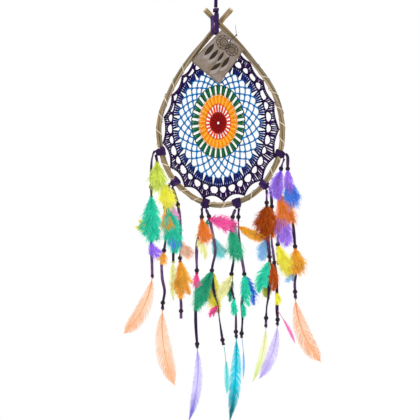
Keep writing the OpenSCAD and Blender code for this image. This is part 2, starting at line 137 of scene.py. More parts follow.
def swing(angle: Array, first: Array, second: Array) -> Array:
    """Turn from one direction towards a second, by each of many angles."""
    return np.cos(angle)[:, None] * first + np.sin(angle)[:, None] * second


def coil(centre: Array, angle: Array, first: Array, second: Array,
         radius: Array | float, axis: Array = UP,
         rise: Array | float = 0.0) -> tuple[Array, Array]:
    """Wind a line round an axis.

    Args:
        centre: Middle of the coil, for all points or each one.
        angle: Angle of each point.
        first: Direction of angle zero.
        second: Direction of a quarter turn.
        radius: Distance out from the middle.
        axis: Direction of the axis.
        rise: Distance along the axis.

    Returns:
        The points of the line, and the direction out from the axis at each.
    """
    out = swing(angle, first, second)
    size, lift = (np.broadcast_to(value, angle.shape)[:, None] for value in (radius, rise))
    return centre + out * size + axis * lift, out


def put(name: str, data: bpy.types.ID) -> bpy.types.Object:
    """Add an object to the scene."""
    made = bpy.data.objects.new(name, data)
    bpy.context.scene.collection.objects.link(made)
    return made


def add_node(tree: Tree, kind: str, inputs: dict | None = None, **settings) -> bpy.types.Node:
    """Add one shader node, set it and wire it.

    Args:
        tree: Node tree to add to.
        kind: Blender's name of the node type.
        inputs: Socket name or index to a value or to another node's output.
        settings: Properties of the node.

    Returns:
        The new node.
    """
    made = tree.nodes.new(kind)
    for name, value in settings.items():
        setattr(made, name, value)
    for name, value in (inputs or {}).items():
        if isinstance(value, Socket):
            tree.links.new(value, made.inputs[name])
        else:
            made.inputs[name].default_value = value
    return made


# ---------------------------------------------------------------- finishes
@dataclass(frozen=True)
class Finish:
    """A surface finish whose colour, roughness and relief come from a pattern."""

    name: str
    roughness: float = 0.7
    specular: float = 0.4
    sheen: float = 0.0
    coat: float = 0.0
    subsurface: float = 0.0
    relief_mm: float = 0.2

    def material(self) -> bpy.types.Material:
        """Return the material, building it the first time."""
        known = bpy.data.materials.get(self.name)
        if known:
            return known
        made = bpy.data.materials.new(self.name)
        made.use_nodes = True
        tree = made.node_tree
        tree.nodes.clear()
        shader = add_node(tree, "ShaderNodeBsdfPrincipled", {
            "Roughness": self.roughness, "Specular IOR Level": self.specular, "Sheen Weight": self.sheen,
            "Sheen Roughness": 0.4, "Coat Weight": self.coat, "Coat Roughness": 0.12})
        if self.subsurface:
            shader.inputs["Subsurface Weight"].default_value = self.subsurface
            shader.inputs["Subsurface Scale"].default_value = 0.001
        colour, rough, height = self.pattern(tree)
        tree.links.new(colour, shader.inputs["Base Color"])
        if rough is not None:
            tree.links.new(rough, shader.inputs["Roughness"])
        bump = add_node(tree, "ShaderNodeBump", {"Height": height, "Strength": 0.8,
                                                 "Distance": self.relief_mm * MM})
        tree.links.new(bump.outputs["Normal"], shader.inputs["Normal"])
        add_node(tree, "ShaderNodeOutputMaterial", {"Surface": shader.outputs["BSDF"]})
        return made

    def own_colour(self, tree: Tree) -> Socket:
        """Give the colour that was stored on the mesh."""
        return add_node(tree, "ShaderNodeAttribute", attribute_name="tint").outputs["Color"]

    def own_grain(self, tree: Tree, scale: tuple[float, float, float]) -> Socket:
        """Give the stored place across, through and along the piece, in millimetres times a scale."""
        grain = add_node(tree, "ShaderNodeAttribute", attribute_name="grain").outputs["Vector"]
        return add_node(tree, "ShaderNodeVectorMath", {0: grain, 1: scale}, operation="MULTIPLY").outputs[0]

    def own_place(self, tree: Tree) -> Socket:
        """Give the place on the piece itself."""
        return add_node(tree, "ShaderNodeTexCoord").outputs["Object"]

    def noise(self, tree: Tree, place: Socket, scale: float, detail: float,
              roughness: float = 0.5) -> Socket:
        """Lay a noise over the surface; a larger scale makes it finer."""
        return add_node(tree, "ShaderNodeTexNoise", {"Vector": place, "Scale": scale, "Detail": detail,
                                                     "Roughness": roughness}).outputs["Fac"]

    def two_tones(self, tree: Tree, mask: Socket, start: float, stop: float,
                  low: str, high: str) -> Socket:
        """Run from one tone to another over a mask.

        Args:
            tree: Node tree to add to.
            mask: Value from 0 to 1.
            start: Mask value up to which the first tone is pure.
            stop: Mask value from which the second tone is pure.
            low: First tone.
            high: Second tone.

        Returns:
            A colour output.
        """
        made = add_node(tree, "ShaderNodeValToRGB", {"Fac": mask})
        ramp = made.color_ramp.elements
        ramp[0].position, ramp[1].position = start, stop
        ramp[0].color, ramp[1].color = ((*linear(tone), 1.0) for tone in (low, high))
        return made.outputs["Color"]

    def shaded(self, tree: Tree, colour: Socket, mask: Socket,
               dark: float, light: float) -> Socket:
        """Vary a colour's lightness by a mask, from a dark factor to a light one."""
        factor = add_node(tree, "ShaderNodeMapRange", {"Value": mask, "From Min": 0.3, "From Max": 0.7,
                                                       "To Min": dark, "To Max": light}).outputs[0]
        return add_node(tree, "ShaderNodeVectorMath", {0: colour, "Scale": factor},
                        operation="SCALE").outputs[0]

    def pattern(self, tree: Tree) -> Pattern:
        """Build the pattern.

        Args:
            tree: Node tree to add to.

        Returns:
            Colour, roughness or None, and height outputs.
        """
        raise NotImplementedError


@dataclass(frozen=True)
class DyedSuede(Finish):
    """Split leather, dyed through and brushed: a matt nap that lightens where it was stroked."""

    def pattern(self, tree: Tree) -> Pattern:
        """Nap of 0.3 mm fibres in drifting lighter and darker strokes of about 6 mm."""
        strokes = self.noise(tree, self.own_grain(tree, (0.35, 0.35, 0.16)), 1.0, 3.0)
        nap = self.noise(tree, self.own_grain(tree, (3.2, 3.2, 1.2)), 1.0, 4.0)
        colour = self.shaded(tree, self.own_colour(tree), strokes, 0.6, 1.7)
        return self.shaded(tree, colour, nap, 0.75, 1.25), None, nap


@dataclass(frozen=True)
class PeeledCane(Finish):
    """Peeled willow, bent wet and dried: smooth and low-gloss with long grain and grey-brown streaks."""

    def pattern(self, tree: Tree) -> Pattern:
        """Grain streaks about 0.6 mm wide and 30 mm long, with weathered patches."""
        streaks = self.noise(tree, self.own_grain(tree, (1.6, 1.6, 0.03)), 1.0, 5.0, 0.65)
        patches = self.noise(tree, self.own_grain(tree, (0.12, 0.12, 0.02)), 1.0, 2.0)
        colour = self.shaded(tree, self.own_colour(tree), streaks, 0.55, 1.35)
        rough = add_node(tree, "ShaderNodeMapRange", {"Value": streaks, "To Min": 0.65, "To Max": 0.38})
        return self.shaded(tree, colour, patches, 0.72, 1.22), rough.outputs[0], streaks


@dataclass(frozen=True)
class LacqueredBead(Finish):
    """Turned wood, dyed near-black and lacquered: a small sharp highlight over faint turning lines."""

    def pattern(self, tree: Tree) -> Pattern:
        """Turning lines 0.8 mm apart and a wine-red tone where the dye is thin."""
        place = self.own_place(tree)
        lines = add_node(tree, "ShaderNodeTexWave", {"Vector": place, "Scale": 400.0, "Distortion": 3.0,
                                                     "Detail": 2.0}, bands_direction="Z")
        dye = self.noise(tree, place, 160.0, 3.0)
        return self.two_tones(tree, dye, 0.35, 0.75, "#100818", "#2e1226"), None, lines.outputs["Fac"]


@dataclass(frozen=True)
class PliedYarn(Finish):
    """Cotton crochet yarn, two plies twisted together: matt, with slanting ply lines and a little fuzz."""

    def pattern(self, tree: Tree) -> Pattern:
        """Two plies with a turn every 3.2 mm, and fibres 0.3 mm wide."""
        grain = self.own_grain(tree, (1.0, 1.0, 1.0))
        parts = add_node(tree, "ShaderNodeSeparateXYZ", {"Vector": grain}).outputs
        angle = add_node(tree, "ShaderNodeMath", {0: parts["Z"], 1: 2 * math.pi / 3.2},
                         operation="MULTIPLY").outputs[0]
        turn = add_node(tree, "ShaderNodeVectorRotate", {"Vector": grain, "Axis": (0, 0, 1),
                                                         "Angle": angle}).outputs[0]
        ply = add_node(tree, "ShaderNodeSeparateXYZ", {"Vector": turn}).outputs["X"]
        ply = add_node(tree, "ShaderNodeMath", {0: ply}, operation="ABSOLUTE").outputs[0]
        fibres = self.noise(tree, turn, 3.0, 4.0)
        colour = self.shaded(tree, self.own_colour(tree), ply, 0.72, 1.12)
        height = add_node(tree, "ShaderNodeMath", {0: ply, 1: fibres}, operation="ADD").outputs[0]
        return self.shaded(tree, colour, fibres, 0.75, 1.25), None, height


@dataclass(frozen=True)
class DyedFeather(Finish):
    """Goose and hen feather, acid-dyed: soft satin barbs whose colour thins towards their ends."""

    def pattern(self, tree: Tree) -> Pattern:
        """Streaks 0.4 mm wide along each barb."""
        streaks = self.noise(tree, self.own_grain(tree, (2.5, 2.5, 0.35)), 1.0, 3.0)
        return self.shaded(tree, self.own_colour(tree), streaks, 0.82, 1.15), None, streaks


@dataclass(frozen=True)
class GreyBoard(Finish):
    """Uncoated recycled board: matt grey-brown with fibre flecks and soft cloudy printing."""

    def pattern(self, tree: Tree) -> Pattern:
        """Clouds of about 18 mm in two tones and flecks of about 1 mm."""
        place = self.own_place(tree)
        clouds = self.noise(tree, place, 55.0, 4.0)
        flecks = self.noise(tree, place, 900.0, 3.0)
        tone = self.two_tones(tree, clouds, 0.36, 0.66, "#7c6d5a", "#958781")
        return self.shaded(tree, tone, flecks, 0.82, 1.16), None, flecks


@dataclass(frozen=True)
class PrintInk(Finish):
    """Brown ink printed on rough board: matt, and broken where the board's fibres stand up."""

    def pattern(self, tree: Tree) -> Pattern:
        """Mottling of about 1 mm."""
        place = self.own_place(tree)
        mottle = self.noise(tree, place, 800.0, 3.0)
        return self.shaded(tree, self.own_colour(tree), mottle, 0.7, 1.45), None, mottle


SUEDE = DyedSuede("dyed_split_suede", roughness=0.82, specular=0.12, sheen=0.06, relief_mm=0.25)
CANE = PeeledCane("peeled_willow_cane", roughness=0.5, specular=0.45, relief_mm=0.15)
BARK = PeeledCane("split_cane_binding", roughness=0.45, specular=0.5, relief_mm=0.1)
BEAD = LacqueredBead("lacquered_dyed_wood", roughness=0.42, specular=0.2, coat=0.06, relief_mm=0.04)
YARN = PliedYarn("plied_cotton_yarn", roughness=0.9, specular=0.05, relief_mm=0.3)
TWINE = PliedYarn("waxed_twine", roughness=0.6, specular=0.35, relief_mm=0.2)
FEATHER = DyedFeather("dyed_feather_barbs", roughness=0.7, specular=0.05, relief_mm=0.08)
BOARD = GreyBoard("recycled_grey_board", roughness=0.85, specular=0.2, relief_mm=0.08)
INK = PrintInk("printed_brown_ink", roughness=0.8, specular=0.2, relief_mm=0.05)


# ---------------------------------------------------------------- mesh building
@dataclass
class Skin:
    """Gathers the faces of one piece, in millimetres, with a colour and a grain place at each point."""

    points: list[Array] = field(default_factory=list)
    quads: list[Array] = field(default_factory=list)
    ends: list[list[int]] = field(default_factory=list)
    tints: list[Array] = field(default_factory=list)
    grains: list[Array] = field(default_factory=list)
    size: int = 0

    def add(self, points: Array, quads: Array, tint: Array, grain: Array) -> int:
        """Add points and four-sided faces.

        Args:
            points: Places, one row each.
            quads: Rows of four point numbers, counted from the first new point.
            tint: One linear colour, or one for each point.
            grain: Place across, through and along for each point.

        Returns:
            The number of the first new point.
        """
        first = self.size
        self.points.append(points)
        self.quads.append(quads + first)
        self.tints.append(np.broadcast_to(tint, points.shape))
        self.grains.append(grain)
        self.size += len(points)
        return first

    def sweep(self, path: Array, section: Array, tint: Array, facing: Array = FRONT,
              twist: Array | float = 0.0, closed: bool = False) -> None:
        """Sweep a section along a path.

        Args:
            path: The centreline.
            section: Outline as (towards facing, sideways), for all points or for each one.
            tint: One colour, or one for each point of the path.
            facing: Direction that the section's first axis turns to, for all points or each one.
            twist: Turn of the section in radians, for all points or each one.
            closed: Whether the path joins its own start.
        """
        n = len(path)
        if closed:
            along = unit(np.roll(path, -1, 0) - np.roll(path, 1, 0))
        else:
            along = unit(np.gradient(path, axis=0))
        face = np.broadcast_to(np.asarray(facing, float), path.shape)
        a = unit(face - along * (face * along).sum(1, keepdims=True))
        b = np.cross(along, a)
        turn = np.broadcast_to(twist, (n,))[:, None]
        a, b = a * np.cos(turn) + b * np.sin(turn), b * np.cos(turn) - a * np.sin(turn)
        shape = np.broadcast_to(section, (n,) + section.shape[-2:])
        k = shape.shape[1]
        ring = path[:, None] + shape[..., :1] * a[:, None] + shape[..., 1:] * b[:, None]
        reach = reach_along(path)
        grain = np.dstack([shape[..., 1], shape[..., 0], np.repeat(reach[:, None], k, 1)])
        last = n if closed else n - 1
        i, j = np.meshgrid(np.arange(last), np.arange(k), indexing="ij")
        nxt, m = (i + 1) % n, (j + 1) % k
        quads = np.stack([i * k + j, i * k + m, nxt * k + m, nxt * k + j], -1).reshape(-1, 4)
        colours = np.repeat(np.broadcast_to(tint, (n, 3)), k, 0)
        first = self.add(ring.reshape(-1, 3), quads, colours, grain.reshape(-1, 3))
        if not closed:
            self.ends.append(list(range(first + k - 1, first - 1, -1)))
            self.ends.append(list(range(first + (n - 1) * k, first + n * k)))

    def tube(self, path: Array, radius: Array | float, tint: Array, sides: int = 6,
             facing: Array = FRONT, closed: bool = False) -> None:
        """Sweep a round section.

        Args:
            path: The centreline.
            radius: One radius, or one for each point.
            tint: One colour, or one for each point.
            sides: Sides of the section.
            facing: Direction of the section's first corner.
            closed: Whether the path joins its own start.
        """
        angle = 2 * math.pi * np.arange(sides) / sides
        circle = np.stack([np.cos(angle), np.sin(angle)], 1)
        size = np.broadcast_to(radius, (len(path),))[:, None, None]
        self.sweep(path, circle[None] * size, tint, facing, 0.0, closed)

    def strap(self, path: Array, width: Array | float, thick: Array | float,
              tint: Array, facing: Array = FRONT, twist: Array | float = 0.0,
              closed: bool = False) -> None:
        """Sweep a flat section with soft edges.

        Args:
            path: The centreline.
            width: Width, for all points or each one.
            thick: Thickness, for all points or each one.
            tint: One colour, or one for each point.
            facing: Direction of the flat side.
            twist: Turn in radians.
            closed: Whether the path joins its own start.
        """
        half = np.array([[0.5, 0.3], [0.5, -0.3], [0.36, -0.46], [0.0, -0.5], [-0.36, -0.46],
                         [-0.5, -0.3], [-0.5, 0.3], [-0.36, 0.46], [0.0, 0.5], [0.36, 0.46]])[::-1]
        n = len(path)
        size = np.stack([np.broadcast_to(thick, (n,)), np.broadcast_to(width, (n,))], 1)
        self.sweep(path, half[None] * size[:, None], tint, facing, twist, closed)

    def ribbons(self, lines: Array, half: Array, tints: Array) -> None:
        """Add many thin open strips at once.

        Args:
            lines: Centrelines, as (strip, place, 3).
            half: Half-width vectors, of the same shape.
            tints: Colours, of the same shape.
        """
        strips, places = lines.shape[:2]
        pair = np.stack([lines - half, lines + half], 2)
        reach = np.broadcast_to(np.linspace(0, 1, places)[None, :, None], (strips, places, 2))
        name = np.arange(strips)[:, None, None] * 1.7 + np.zeros((1, places, 2))
        side = np.broadcast_to(np.array([-0.3, 0.3])[None, None], (strips, places, 2))
        grain = np.stack([name, side, reach * 20], -1)
        s, p = np.meshgrid(np.arange(strips), np.arange(places - 1), indexing="ij")
        base = s * places * 2 + p * 2
        quads = np.stack([base, base + 1, base + 3, base + 2], -1).reshape(-1, 4)
        colours = np.repeat(tints[:, :, None], 2, 2)
        self.add(pair.reshape(-1, 3), quads, colours.reshape(-1, 3), grain.reshape(-1, 3))

    def build(self, name: str, finish: Finish, body: str, slot: str,
              stands_for: Sequence[str] = ()) -> bpy.types.Object:
        """Make the object.

        Args:
            name: Name of the piece.
            finish: Its finish.
            body: Body that it rides on.
            slot: Material slot of the record; not used.
            stands_for: Nodes that it replaces.

        Returns:
            The new object.
        """
        mesh = bpy.data.meshes.new(name)
        points = np.vstack(self.points) * MM
        faces = np.vstack(self.quads).tolist() + self.ends
        mesh.from_pydata(points.tolist(), [], faces)
        mesh.polygons.foreach_set("use_smooth", np.ones(len(faces), bool))
        colours = np.hstack([np.vstack(self.tints), np.ones((len(points), 1))])
        mesh.attributes.new("tint", "FLOAT_COLOR", "POINT").data.foreach_set("color", colours.ravel())
        mesh.attributes.new("grain", "FLOAT_VECTOR", "POINT").data.foreach_set(
            "vector", np.vstack(self.grains).ravel())
        mesh.materials.append(finish.material())
        made = put(name, mesh)
        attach(made, body)
        if stands_for:
            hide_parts(*stands_for)
        LOG.info("%s: %d faces on %s", name, len(faces), body)
        return made


# ---------------------------------------------------------------- studio
@dataclass
class Studio:
    """Camera, soft lights and a pale floor."""

    aim: tuple[float, float, float] = (-10.0, 0.0, -416.0)
    distance: float = 3000.0
    view: float = 714.0
    sensor: float = 36.0
    floor_z: float = -1050.0
    floor_half: float = 2000.0

    def camera(self) -> None:
        """Stand the camera level in front of the web."""
        made = bpy.data.cameras.new("Camera")
        made.sensor_width = self.sensor
        made.lens = self.sensor * self.distance / self.view
        made.clip_end = 50.0
        placed = put("Camera", made)
        placed.location = (self.aim[0] * MM, -self.distance * MM, self.aim[2] * MM)
        placed.rotation_euler = (math.pi / 2, 0.0, 0.0)
        bpy.context.scene.camera = placed

    def light(self) -> None:
        """Fill a white room and add a large key light and a weaker one on the other side."""
        world = bpy.data.worlds.new("White_room")
        world.use_nodes = True
        tree = world.node_tree
        tree.nodes.clear()
        seen = add_node(tree, "ShaderNodeBackground", {"Color": (1, 1, 1, 1), "Strength": 1.0})
        cast = add_node(tree, "ShaderNodeBackground", {"Color": (0.97, 0.985, 1, 1), "Strength": 0.74})
        ray = add_node(tree, "ShaderNodeLightPath").outputs["Is Camera Ray"]
        both = add_node(tree, "ShaderNodeMixShader", {0: ray, 1: cast.outputs[0], 2: seen.outputs[0]})
        add_node(tree, "ShaderNodeOutputWorld", {"Surface": both.outputs[0]})
        bpy.context.scene.world = world
        for name, place, size, power in (("Key", (-1.3, -1.9, 0.7), 1.1, 25.0),
                                         ("Fill", (1.5, -1.5, -0.2), 1.4, 8.0),
                                         ("Back", (0.4, 1.8, 0.5), 1.2, 8.0)):
            lamp = bpy.data.lights.new(name, "AREA")
            lamp.size, lamp.energy = size, power
            placed = put(name, lamp)
            placed.location = place
            goal = Vector((self.aim[0] * MM, 0.0, self.aim[2] * MM))
            placed.rotation_euler = (goal - placed.location).to_track_quat("-Z", "Y").to_euler()
        bpy.context.scene.view_settings.view_transform = "Standard"

    def floor(self) -> None:
        """Lay a pale floor well below the object."""
        mesh = bpy.data.meshes.new("Floor")
        z, s = self.floor_z * MM, self.floor_half * MM
        mesh.from_pydata([(-s, -s, z), (s, -s, z), (s, s, z), (-s, s, z)], [], [(0, 1, 2, 3)])
        paint = bpy.data.materials.new("matt_white_floor")
        paint.use_nodes = True
        shader = paint.node_tree.nodes["Principled BSDF"]
        shader.inputs["Base Color"].default_value = (0.86, 0.86, 0.86, 1)
        shader.inputs["Roughness"].default_value = 0.9
        mesh.materials.append(paint)
        made = put("Floor", mesh)


# ---------------------------------------------------------------- strands
class Dye(Enum):
    """Dyes of the feathers: colour at the quill, in the vane, and at the barbs' ends."""

    TEAL = ("#06a384", "#0fd0a6", "#5aeed2")
    LIME = ("#b4c41c", "#cfe02e", "#eefc9a")
    YELLOW = ("#ead000", "#fbea1e", "#fff78a")
    AMBER = ("#f58000", "#ffa414", "#ffcb6a")
    ORANGE = ("#d84e0c", "#fb7616", "#ffb76a")
    RUST = ("#6a2204", "#b23c08", "#f28030")
    BROWN = ("#3a1c08", "#8f3208", "#d8641a")
    PINK = ("#e05a9a", "#f97fc2", "#ffc4e4")
    MAGENTA = ("#c80f58", "#f7358c", "#ff98d8")
    GREEN = ("#046a4a", "#06a074", "#5fe0b2")
    OLIVE = ("#6a7012", "#a3a81f", "#dfe07a")
    CYAN = ("#1fb0b4", "#62dede", "#c4f8f6")
    SKY = ("#4a9ce8", "#86c6fc", "#c8e6ff")
    BLUE = ("#1238c0", "#2a68f0", "#86c4ff")
    VIOLET = ("#6a35d8", "#9a64f8", "#cfaaff")
    LILAC = ("#7a40d8", "#a06cf4", "#d0aaff")
    PEACH = ("#fba484", "#ffc09e", "#ffdccb")
    CREAM = ("#e8e07a", "#f5f29a", "#fffdd8")


@dataclass
class Plume:
    """One feather: a shaft with two vanes of barbs.

    foot and tip are (x, y, z); softness runs from 0, a smooth quill feather, to 1, loose down.
    """

    foot: Array
    tip: Array
    half_width: float
    tones: tuple[Array, Array, Array]
    bow: float = 0.0
    softness: float = 0.8
    bare: float = 0.0
    shaft_d: float = 0.7
    camber: float = 1.5
    tip_tone: Array | None = None
    seed: int = 1
    shaft_places: int = 15
    barb_places: int = 6
    lock_size: int = 6
    fewest_barbs: int = 30
    most_barbs: int = 240
    foot_lean: float = 58.0
    lean_drop: float = 36.0
    edge_fade: float = 0.45

    def shaft(self, u: Array) -> Array:
        """Place points on the shaft.

        Args:
            u: Values from 0 at the foot to 1 at the tip.

        Returns:
            The places.
        """
        run = self.tip - self.foot
        across = unit(np.array([run[2], 0.0, -run[0]]))
        bend = self.bow * 4 * u * (1 - u)
        line = self.foot + run * u[:, None] - across * bend[:, None]
        line[:, 1] += self.camber * np.sin(math.pi * u) * (1 - self.softness)
        return line

    def outline(self, u: Array) -> Array:
        """Give the vane's half width along the shaft."""
        full = np.sin(math.pi * np.clip(u, 0, 1) ** 0.8) ** (0.9 - 0.35 * self.softness)
        return self.half_width * np.maximum(full, 0.12)

    def put_on(self, skin: Skin) -> None:
        """Add the feather's shaft and barbs to a skin.

        Args:
            skin: Skin that takes the faces.
        """
        rng = np.random.default_rng(self.seed)
        u = np.linspace(0, 1, self.shaft_places)
        skin.tube(self.shaft(u), self.shaft_d / 2 * (1 - 0.85 * u) + 0.06, self.tones[0] * 0.9, sides=5)
        for side in (-1, 1):
            self.put_vane(skin, side, rng)

    def put_vane(self, skin: Skin, side: int, rng: np.random.Generator) -> None:
        """Add the barbs of one side.

        Args:
            skin: Skin that takes the faces.
            side: -1 or 1.
            rng: The feather's source of chance.
        """
        soft = self.softness
        length = float(np.linalg.norm(self.tip - self.foot))
        start = self.bare / length
        gap = 0.52 + 0.04 * soft
        count = int(np.clip(length * (1 - start) / gap, self.fewest_barbs, self.most_barbs))
        at = np.linspace(start + 0.015, 0.995, count) + rng.normal(0, 0.3 / count, count)
        at = np.clip(at, start, 1.0)
        root = self.shaft(at)
        way = unit(self.shaft(np.clip(at + 0.01, 0, 1.02)) - self.shaft(np.clip(at - 0.01, 0, 1.0)))
        out = side * unit(np.stack([way[:, 2], np.zeros(count), -way[:, 0]], 1))
        along = np.clip((at - start) / (1 - start), 0, 1)
        # barbs at the foot stand out from the shaft and those at the tip lie along it
        lean = np.radians(self.foot_lean + 8 * soft - (self.lean_drop - 6 * soft) * along)
        # neighbouring barbs cling in locks that part from each other
        locks = np.repeat(rng.normal(0, 1, count // self.lock_size + 2), self.lock_size)[:count]
        lean = lean + np.radians(7 + 6 * soft) * locks * soft
        lean = lean + rng.normal(0, 0.04 + 0.16 * soft, count)
        curve = 0.3 + 0.3 * soft
        reach = self.outline(along) / np.maximum(np.sin(np.clip(lean - curve / 2, 0.2, 1.4)), 0.42)
        reach = reach * (1 + rng.normal(0, 0.02 + 0.23 * soft, count))
        reach = np.maximum(reach, 0.8)
        lift = rng.normal(0, 0.05 + 0.26 * soft, count) + 0.1 * locks * soft
        s = np.linspace(0, 1, self.barb_places)[None, :]
        wave = rng.normal(0, 0.35 * soft, count)[:, None] * np.sin(
            s * 5 + rng.uniform(0, 6, count)[:, None])
        curl = lean[:, None] - curve * s + wave
        step = reach[:, None] / (self.barb_places - 1) * np.ones_like(s)
        heads = np.cos(curl)[..., None] * way[:, None] + np.sin(curl)[..., None] * out[:, None]
        heads[..., 1] += lift[:, None] * (0.3 + s)
        lines = root[:, None] + np.concatenate(
            [np.zeros((count, 1, 3)), np.cumsum(heads[:, :-1] * step[:, :-1, None], 1)], 1)
        lines[..., 1] += self.camber * 0.35 * s ** 2
        broad = max(length * (1 - start) / count, 0.5) * (0.66 + 0.1 * soft)
        width = broad * (1 - 0.72 * s ** 1.5) * (0.8 + 0.4 * rng.random(count))[:, None]
        half = unit(np.cross(heads, BACK)) * width[..., None]
        skin.ribbons(lines, half, self.barb_tints(along, locks, s, rng))

    def barb_tints(self, along: Array, locks: Array, s: Array, rng: np.random.Generator) -> Array:
        """Dye the barbs: from the quill's tone to the vane's, thinning out to the edge's.

        Args:
            along: How far up the vane each barb stands, from 0 to 1.
            locks: How each barb's lock differs from the rest.
            s: Places along a barb from 0 to 1.
            rng: The feather's source of chance.

        Returns:
            Colours, as (barb, place, 3).
        """
        core, vane, edge = self.tones
        end = self.tip_tone if self.tip_tone is not None else vane
        far = (s ** 1.4)[..., None]
        body = blend(vane, end, np.clip((along - 0.5) / 0.35, 0, 1))
        body = blend(core, body, np.clip(0.35 + along * 2.5, 0, 1))
        fade = self.edge_fade + 0.2 * self.softness
        tint = body[:, None] * (1 - fade * far) + edge * fade * far
        drift = 1 + rng.normal(0, 0.06, (len(along), 1, 1)) + 0.13 * self.softness * locks[:, None, None]
        return np.clip(tint * drift, 0, 1)


@dataclass(frozen=True)
class Tuft:
    """A small feather tied to a lace: its place along the route, and its tip from there in millimetres."""

    place: float
    tip_x: float
    tip_z: float
    half_width: float
    layer: int
    dye: Dye


@dataclass(frozen=True)
class LongFeather:
    """A long feather on the lace's last knot."""

    tip_x: float
    tip_z: float
    half_width: float
    bow: float
    dye: tuple[str, str, str, str]
    shaft_d: float = 1.6


